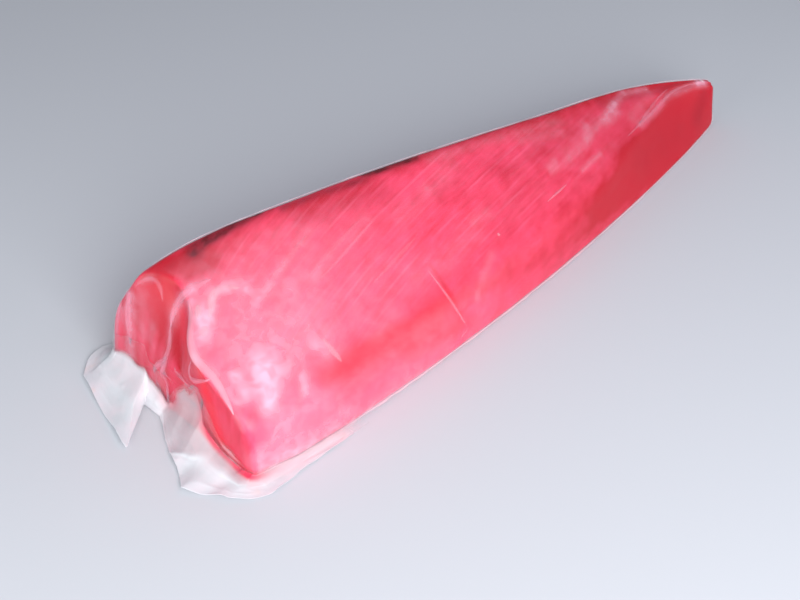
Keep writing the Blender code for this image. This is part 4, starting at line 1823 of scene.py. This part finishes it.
@dataclass(frozen=True)
class LooseFilm:
    """The bag's open end: crumpled milky film round the foot of the thick end.

    Each row gives a place across the end cut or along a side, the climb up the cut, the reach
    outward over the table, and the slip along the edge toward the front corner.
    """

    form: LoinForm
    skin: Skin
    view: PhotoView
    shift: Array
    wall: float = 0.2 * MM
    lift: float = 0.5 * MM
    soft: float = 1.8 * MM
    climb_top: float = 0.065
    run_end: float = 0.12
    clear: float = 0.0036
    floor: float = 0.0009
    lean_front: float = 0.05
    lean_back: float = 0.18
    corner: float = 0.007
    back_run: float = 0.045
    front_run: float = 0.085
    steps: int = 460
    rows: int = 72
    fold_pitch: float = 0.021
    fold_height: float = 0.0016
    fold_full_reach: float = 0.02
    panel_start: Range = (0.116, 0.128)
    panel_end: Range = (0.19, 0.2)
    end_fade: float = 0.03
    thin_end: Range = (0.14, 0.17)
    thin_reach: float = 0.5
    crease: float = 0.5 * MM
    crease_place: float = 0.04
    crease_width: float = 0.035
    batches: int = 60
    lean_turn: Range = (-20 * MM, 10 * MM)
    edge_ragged: tuple[tuple[float, float, Seed], ...] = (
        (0.06, 9 * MM, Seed.OUTER_EDGE),
        (0.02, 3 * MM, Seed.FINE_EDGE),
    )
    top_ragged: tuple[float, float, Seed] = (0.12, 7 * MM, Seed.TOP_EDGE)
    height_size: float = 0.045
    ragged: float = 0.06
    ragged_size: float = 8 * MM
    hem_place: float = 0.5
    hem_ragged: float = 0.4
    least_crumple: float = 0.3
    end_power: int = 4
    fold_turn: float = 2.0
    fold_power: float = 1.5
    hem: float = 0.12
    hem_panel: float = 0.07
    climb_height: Range = (1.0 * MM, 4.0 * MM)
    laid_rows: Range = (0.25, 0.62)
    crumple_size: float = 15 * MM
    crumple_height: float = 0.6 * MM
    crumple_start: Range = (0.0, 0.6)
    fine_size: float = 6 * MM
    fine_height: float = 0.2 * MM
    floor_share: float = 0.4
    beside: Range = (0.195, 0.21)
    lying_gap: Range = (0.3 * MM, 1.1 * MM)
    lying_height: Range = (4.5 * MM, 8.0 * MM)
    bare_rise: Range = (0.35, 0.65)
    top_fade: float = 0.24
    top_rise: float = 0.14
    top_rise_beside: float = 0.3
    haze: float = 0.88
    on_loin_thin: float = 0.06
    panel_thin: float = 0.4
    beside_thin: float = 0.12
    uneven: float = 0.05
    blotch_size: float = 12 * MM
    most_haze: float = 0.97
    wet_gap: Range = (3.0 * MM, 9.0 * MM)
    wet_start: Range = (0.175, 0.19)
    near_gap: Range = (1.5 * MM, 4.5 * MM)
    near_flush: float = 1.1
    flush: float = 0.015
    panel_flush: float = 0.1
    beside_flush: float = 0.04
    wet_flush: float = 0.2
    bare: tuple[Stroke, ...] = each(
        Stroke,
        (((203, 384), (207, 410), (212, 430), (220, 449), (232, 466), (244, 478)), 8.0 * MM, 1.0),
        (((186, 338), (186, 360), (189, 378)), 8.0 * MM, 1.0),
        (((160, 340), (166, 362), (170, 392)), 8.0 * MM, 1.0),
    )
    back_side: tuple[tuple[float, ...], ...] = (
        (0.0, 0.004, 0.003, 0.0),
        (0.45, 0.007, 0.006, 0.0),
        (1.0, 0.014, 0.011, 0.0),
    )
    end: tuple[tuple[float, ...], ...] = (
        (0.00, 0.025, 0.016, -0.004),
        (0.26, 0.032, 0.034, 0.034),
        (0.325, 0.026, 0.004, 0.002),
        (0.44, 0.014, 0.003, 0.000),
        (0.56, 0.034, 0.013, 0.003),
        (0.67, 0.046, 0.02, 0.002),
        (0.79, 0.02, 0.028, 0.003),
        (1.00, 0.007, 0.015, 0.003),
    )
    front_side: tuple[tuple[float, ...], ...] = (
        (0.0, 0.007, 0.011, 0.0),
        (0.35, 0.006, 0.007, 0.0),
        (1.0, 0.005, 0.002, 0.0),
    )

    def path(self) -> Array:
        """Foot line with its rows: arc, plan point, outward and onward directions, row values.

        The line runs along the back side to the thick end, across the end cut and along the
        front side, with a round bend at both corners.

        Returns:
            One line of values for each row of the three sides.
        """
        form, gap = self.form, self.clear
        front_y = float(-form.front_edge(0.0)) - gap
        back_far = (self.back_run, form.back_edge(self.back_run / form.length) + gap)
        back_corner = (form.end_cut_x(form.head_back, 0.0) - gap, form.head_back + gap)
        front_corner = (form.end_cut_x(front_y, 0.0) - gap, front_y)
        front_far = (self.front_run, -form.front_edge(self.front_run / form.length) - gap)
        legs = (
            (back_far, back_corner, self.back_side, 0.0, self.corner),
            (back_corner, front_corner, self.end, self.corner, self.corner),
            (front_corner, front_far, self.front_side, self.corner, 0.0),
        )
        stations = []
        run = 0.0
        for start, end, rows, bend_before, bend_after in legs:
            way = np.subtract(end, start)
            length = np.linalg.norm(way)
            way = way / length
            for share, climb, reach, slip in rows:
                along = np.clip(share * length, bend_before, length - bend_after)
                place = np.array(start) + way * along
                stations.append((run + along, *place, way[1], -way[0], *way, climb, reach, slip))
            run += length
        return np.array(stations)

    def laid_on(self, points: Array, share: Array) -> tuple[Array, Array]:
        """Points moved onto the loin: to the mean plane of the skin's points nearest to each.

        A point of the skin counts by a bell curve of how much farther it is than the nearest.

        Args:
            points: Grid of the film's points.
            share: How far each point moves, from 0 to 1.

        Returns:
            The moved points and how far each still stands off the loin.
        """
        spots, normals = (grid[::2, ::2].reshape(-1, 3) for grid in (self.skin.points, self.skin.normals))
        low = spots.min(axis=0)
        near = (spots[:, 0] < low[0] + self.run_end) & (spots[:, 2] < low[2] + self.climb_top)
        spots, normals = spots[near], normals[near]
        places, ways = [], []
        for part in np.array_split(points.reshape(-1, 3), self.batches):
            far = (spots**2).sum(-1) - 2.0 * part @ spots.T
            weight = np.exp(-(far - far.min(axis=1, keepdims=True)) / self.soft**2)
            weight /= weight.sum(axis=1, keepdims=True)
            places.append(weight @ spots)
            ways.append(weight @ normals)
        place, way = (np.concatenate(parts).reshape(points.shape) for parts in (places, ways))
        way = unit(way)
        gap = ((points - place) * way).sum(-1) - self.lift
        return points - (gap * share)[..., None] * way, gap * (1.0 - share)

    def draped(self, grid: FilmGrid) -> Array:
        """The film before it is laid on the loin.

        Each column is a bent sheet from the cut's face down to its foot and out onto the table: a
        curve with three control points, whose climbing part leans with the cut. Long folds fan
        out over the table.

        Args:
            grid: Places on the film.

        Returns:
            The film's points in the loin's own frame.
        """
        arc, t = grid.arc, grid.t
        line = np.column_stack((arc, arc * 0.0, arc * 0.0))
        waves = (share * lattice_noise(line, size, seed) for share, size, seed in self.edge_ragged)
        ragged = 1.0 + sum(waves)
        share, size, seed = self.top_ragged
        climb = grid.climb * (1.0 + share * lattice_noise(line, size, seed))
        on_end = np.clip(-grid.outward[:, 0], 0.0, 1.0) ** self.end_power
        turn = smooth_step(*self.lean_turn, grid.foot[:, 1])
        lean = self.lean_front + (self.lean_back - self.lean_front) * turn
        level = np.full(self.steps, self.floor)
        reach = grid.outward * (grid.reach * ragged)[:, None]
        top = np.column_stack((grid.foot[:, 0] + lean * climb * on_end, grid.foot[:, 1], climb + self.floor))
        root = np.column_stack((grid.foot, level))
        edge = np.column_stack((grid.foot + reach + grid.way * grid.slip[:, None], level))
        s = t[..., None]
        points = (1.0 - s) ** 2 * top + 2.0 * s * (1.0 - s) * root + s**2 * edge
        fold = 0.5 - 0.5 * np.cos(2.0 * np.pi * arc / self.fold_pitch + self.fold_turn * t)
        points[..., 2] += self.fold_height * t**self.fold_power * fold * grid.spread
        return points

    def grid(self) -> FilmGrid:
        """Places on the film with the values of the foot line at each of its columns.

        Returns:
            The places.
        """
        stations = self.path()
        arc = np.linspace(stations[0, 0], stations[-1, 0], self.steps)
        columns = [np.interp(arc, stations[:, 0], column) for column in stations.T[1:]]
        t = np.linspace(0.0, 1.0, self.rows)[:, None]
        place = np.stack(np.broadcast_arrays(arc[None], t * self.height_size, 0.0 * t), -1)
        ragged = self.ragged * lattice_noise(place, self.ragged_size, Seed.HEM)
        panel = smooth_band(self.panel_start, self.panel_end, arc)
        hem_place = self.hem_place + self.thin_reach * panel * smooth_fall(*self.thin_end, arc)
        return FilmGrid(
            arc=arc,
            t=t,
            place=place,
            foot=np.column_stack(columns[0:2]),
            outward=unit(np.column_stack(columns[2:4])),
            way=np.column_stack(columns[4:6]),
            climb=columns[6],
            reach=columns[7],
            slip=columns[8],
            spread=np.clip(columns[7] / self.fold_full_reach, 0.0, 1.0),
            ragged=ragged,
            panel=panel,
            past_hem=t + self.hem_ragged * ragged - hem_place,
        )

    def crumpled(self, points: Array, grid: FilmGrid, crumple: Array) -> Array:
        """Film pushed outward, or upward on the table, by creases and by the hem's fold.

        Args:
            points: The smooth film's points.
            grid: Places on the film.
            crumple: Large creases, from 0 to 1.

        Returns:
            The moved points, none of them under the table.
        """
        fine = crests(grid.place, self.fine_size, Seed.FINE_CRUMPLE)
        push = self.crumple_height * crumple + self.fine_height * fine
        spread = np.clip(grid.spread + self.least_crumple, 0.0, 1.0)
        push = push * smooth_step(*self.crumple_start, grid.t) * spread
        push = push + self.crease * grid.panel * bell(grid.past_hem - self.crease_place, self.crease_width)
        flat = grid.t**2
        points[..., 0:2] += grid.outward[None] * (push * (1.0 - flat))[..., None]
        points[..., 2] += push * flat
        points[..., 2] = np.maximum(points[..., 2], CAD_LOW[2] + self.floor * self.floor_share)
        return points

    def hazes(self, points: Array, stand_off: Array, grid: FilmGrid, crumple: Array) -> tuple[Array, Array]:
        """Milky share of the film and how flushed it is with the pink of the flesh.

        The film is milky, thinner on the loin and over the panel past the front corner, and
        clear where it lies on the loin along the bare strokes, so that the red flesh shows.

        Args:
            points: The film's points.
            stand_off: How far each stands off the loin.
            grid: Places on the film.
            crumple: Large creases, from 0 to 1.

        Returns:
            The two values at each point.
        """
        arc, panel = grid.arc, grid.panel
        beside = smooth_step(*self.beside, arc)
        on_loin = smooth_fall(-1.0, 1.0, grid.past_hem / (self.hem - self.hem_panel * panel))
        clear = sum(stroke.near(points, self.skin, self.view) for stroke in self.bare)
        height = points[..., 2] - CAD_LOW[2]
        lying = smooth_fall(*self.lying_gap, stand_off) * smooth_step(*self.lying_height, height)

        start = self.top_fade * smooth_fall(*self.panel_start, arc)
        rise = smooth_step(start, start + self.top_rise + self.top_rise_beside * beside, grid.t + grid.ragged)
        haze = self.haze - on_loin * (self.on_loin_thin + self.panel_thin * panel) - self.beside_thin * beside
        haze = haze + self.uneven * lattice_noise(grid.place, self.blotch_size, Seed.BLOTCH)
        haze = haze + self.uneven * crumple * (1.0 - on_loin)
        haze = haze * (1.0 - lying * smooth_step(*self.bare_rise, clear))
        haze = haze * smooth_fall(arc[-1] - self.end_fade, arc[-1], arc)

        # Flush: painted light that comes back pink from the red flesh, strongest where the film lies close to
        # the bare red strip
        wet = (1.0 - lying) * smooth_fall(*self.wet_gap, stand_off) * smooth_step(*self.wet_start, arc)
        near = self.near_flush * clear * smooth_fall(*self.near_gap, stand_off)
        flush = self.flush + self.panel_flush * on_loin * panel + self.beside_flush * beside
        flush = flush + self.wet_flush * wet + near
        return np.clip(rise * haze, 0.0, self.most_haze), np.clip(flush, 0.0, 1.0)

    def sheet(self) -> tuple[Array, Array, Array]:
        """Grid of the crumpled film, its haze and how flushed it is with the flesh's pink.

        Returns:
            Points, rows from the top edge to the outer edge, and the two values at each.
        """
        grid = self.grid()
        points = self.draped(grid)
        climbing = smooth_step(*self.climb_height, points[..., 2] - self.floor)
        share = smooth_fall(*self.laid_rows, grid.t) * climbing
        points, stand_off = self.laid_on(points + self.shift, share)
        crumple = crests(grid.place, self.crumple_size, Seed.CRUMPLE)
        points = self.crumpled(points, grid, crumple)
        return points, *self.hazes(points, stand_off, grid, crumple)

    def build(self, finish: BagFilm) -> Object:
        """Make the loose film: the crumpled sheet, with a thin wall from a Solidify modifier.

        Args:
            finish: Material values.

        Returns:
            The piece.
        """
        points, haze, flush = self.sheet()
        rows, columns = haze.shape
        index = np.arange(rows * columns).reshape(rows, columns)
        corners = (index[:-1, :-1], index[:-1, 1:], index[1:, 1:], index[1:, :-1])
        quads = np.stack(corners, -1).reshape(-1)
        values = {"haze": haze.reshape(-1), "flush": flush.reshape(-1)}
        mesh = new_mesh("bag_loose", points.reshape(-1, 3), quads, np.arange(len(quads) // 4) * 4, values)
        piece = add_piece(mesh, finish.make(), Node.SKIRT)
        wall = piece.modifiers.new("film wall", "SOLIDIFY")
        wall.thickness = self.wall
        wall.offset = 0.0
        return piece


@dataclass(frozen=True)
class SoftBox:
    """Square studio light that faces a point."""

    name: str
    place: tuple[float, float, float]
    aim: tuple[float, float, float]
    size: float
    power: float
    colour: str

    def build(self) -> Object:
        """Make the light.

        Returns:
            The light, linked to the scene.
        """
        data = bpy.data.lights.new(self.name, "AREA")
        data.shape = "SQUARE"
        data.size = self.size
        data.energy = self.power
        data.color = linear_colour(self.colour)[:3]
        return add_object(self.name, data, self.place, Vector(self.aim) - Vector(self.place))


@dataclass(frozen=True)
class Studio:
    """Plain pale floor and soft light."""

    floor_colour: str = "#C6CAD0"
    floor_reach: float = 3.0
    floor_roughness: float = 0.9
    floor_specular: float = 0.2
    sky_colour: str = "#F4F6FF"
    sky_strength: float = 0.42
    lights: tuple[SoftBox, ...] = (
        SoftBox("key", (-0.45, -0.9, 0.52), (-0.05, 0.0, 0.03), 0.8, 14.0, "#FFFFFF"),
        SoftBox("sheen", (0.15, -0.55, 0.85), (-0.15, 0.0, 0.05), 0.4, 1.5, "#F0EEFF"),
        SoftBox("left", (-0.95, -0.05, 0.25), (-0.22, 0.0, 0.04), 0.5, 2.7, "#FFFFFF"),
        SoftBox("right", (0.75, -0.85, 0.35), (0.15, 0.0, 0.03), 0.7, 1.2, "#FFFFFF"),
    )

    def build(self) -> None:
        """Make the floor, the sky and the lights."""
        corners = self.floor_reach * np.array(((-1, -1, 0), (1, -1, 0), (1, 1, 0), (-1, 1, 0)))
        mesh = new_mesh("studio_floor", corners, np.arange(4), np.array([0]))
        material, tree = new_material("studio_paper_matt")
        paper = {
            "Base Color": linear_colour(self.floor_colour),
            "Roughness": self.floor_roughness,
            "Specular IOR Level": self.floor_specular,
        }
        shader = add_node(tree, "BsdfPrincipled", {}, paper)
        add_node(tree, "OutputMaterial", {}, {"Surface": shader})
        mesh.materials.append(material)
        add_object("studio_floor", mesh)
        world = bpy.data.worlds.new("studio_sky")
        world.use_nodes = True
        sky = world.node_tree.nodes["Background"]
        sky.inputs["Color"].default_value = linear_colour(self.sky_colour)
        sky.inputs["Strength"].default_value = self.sky_strength
        bpy.context.scene.world = world
        for light in self.lights:
            light.build()


def main() -> None:
    """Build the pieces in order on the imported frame."""
    logging.basicConfig(level=logging.INFO, format="%(name)s %(message)s")
    bpy.context.scene.view_settings.view_transform = "Standard"
    form = LoinForm()
    maker = SkinMaker(form)
    low_corner = np.array(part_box(Node.LOIN.value)[0])
    skin = maker.make(low_corner)
    shift = low_corner - maker.low_corner()
    view = PhotoView(tuple(shift + VIEW_POINT))
    bpy.context.scene.camera = view.camera()

    flesh = Flesh(skin, view)
    flesh.build(RawTunaFlesh())
    ClingFilm(skin, view, flesh.muscle()).build(TIGHT_FILM)
    FilmFolds(skin, view).build(FOLDED_FILM)
    LooseFilm(form, skin, view, shift).build(LOOSE_FILM)
    Studio().build()


if __name__ == "__main__":
    main()
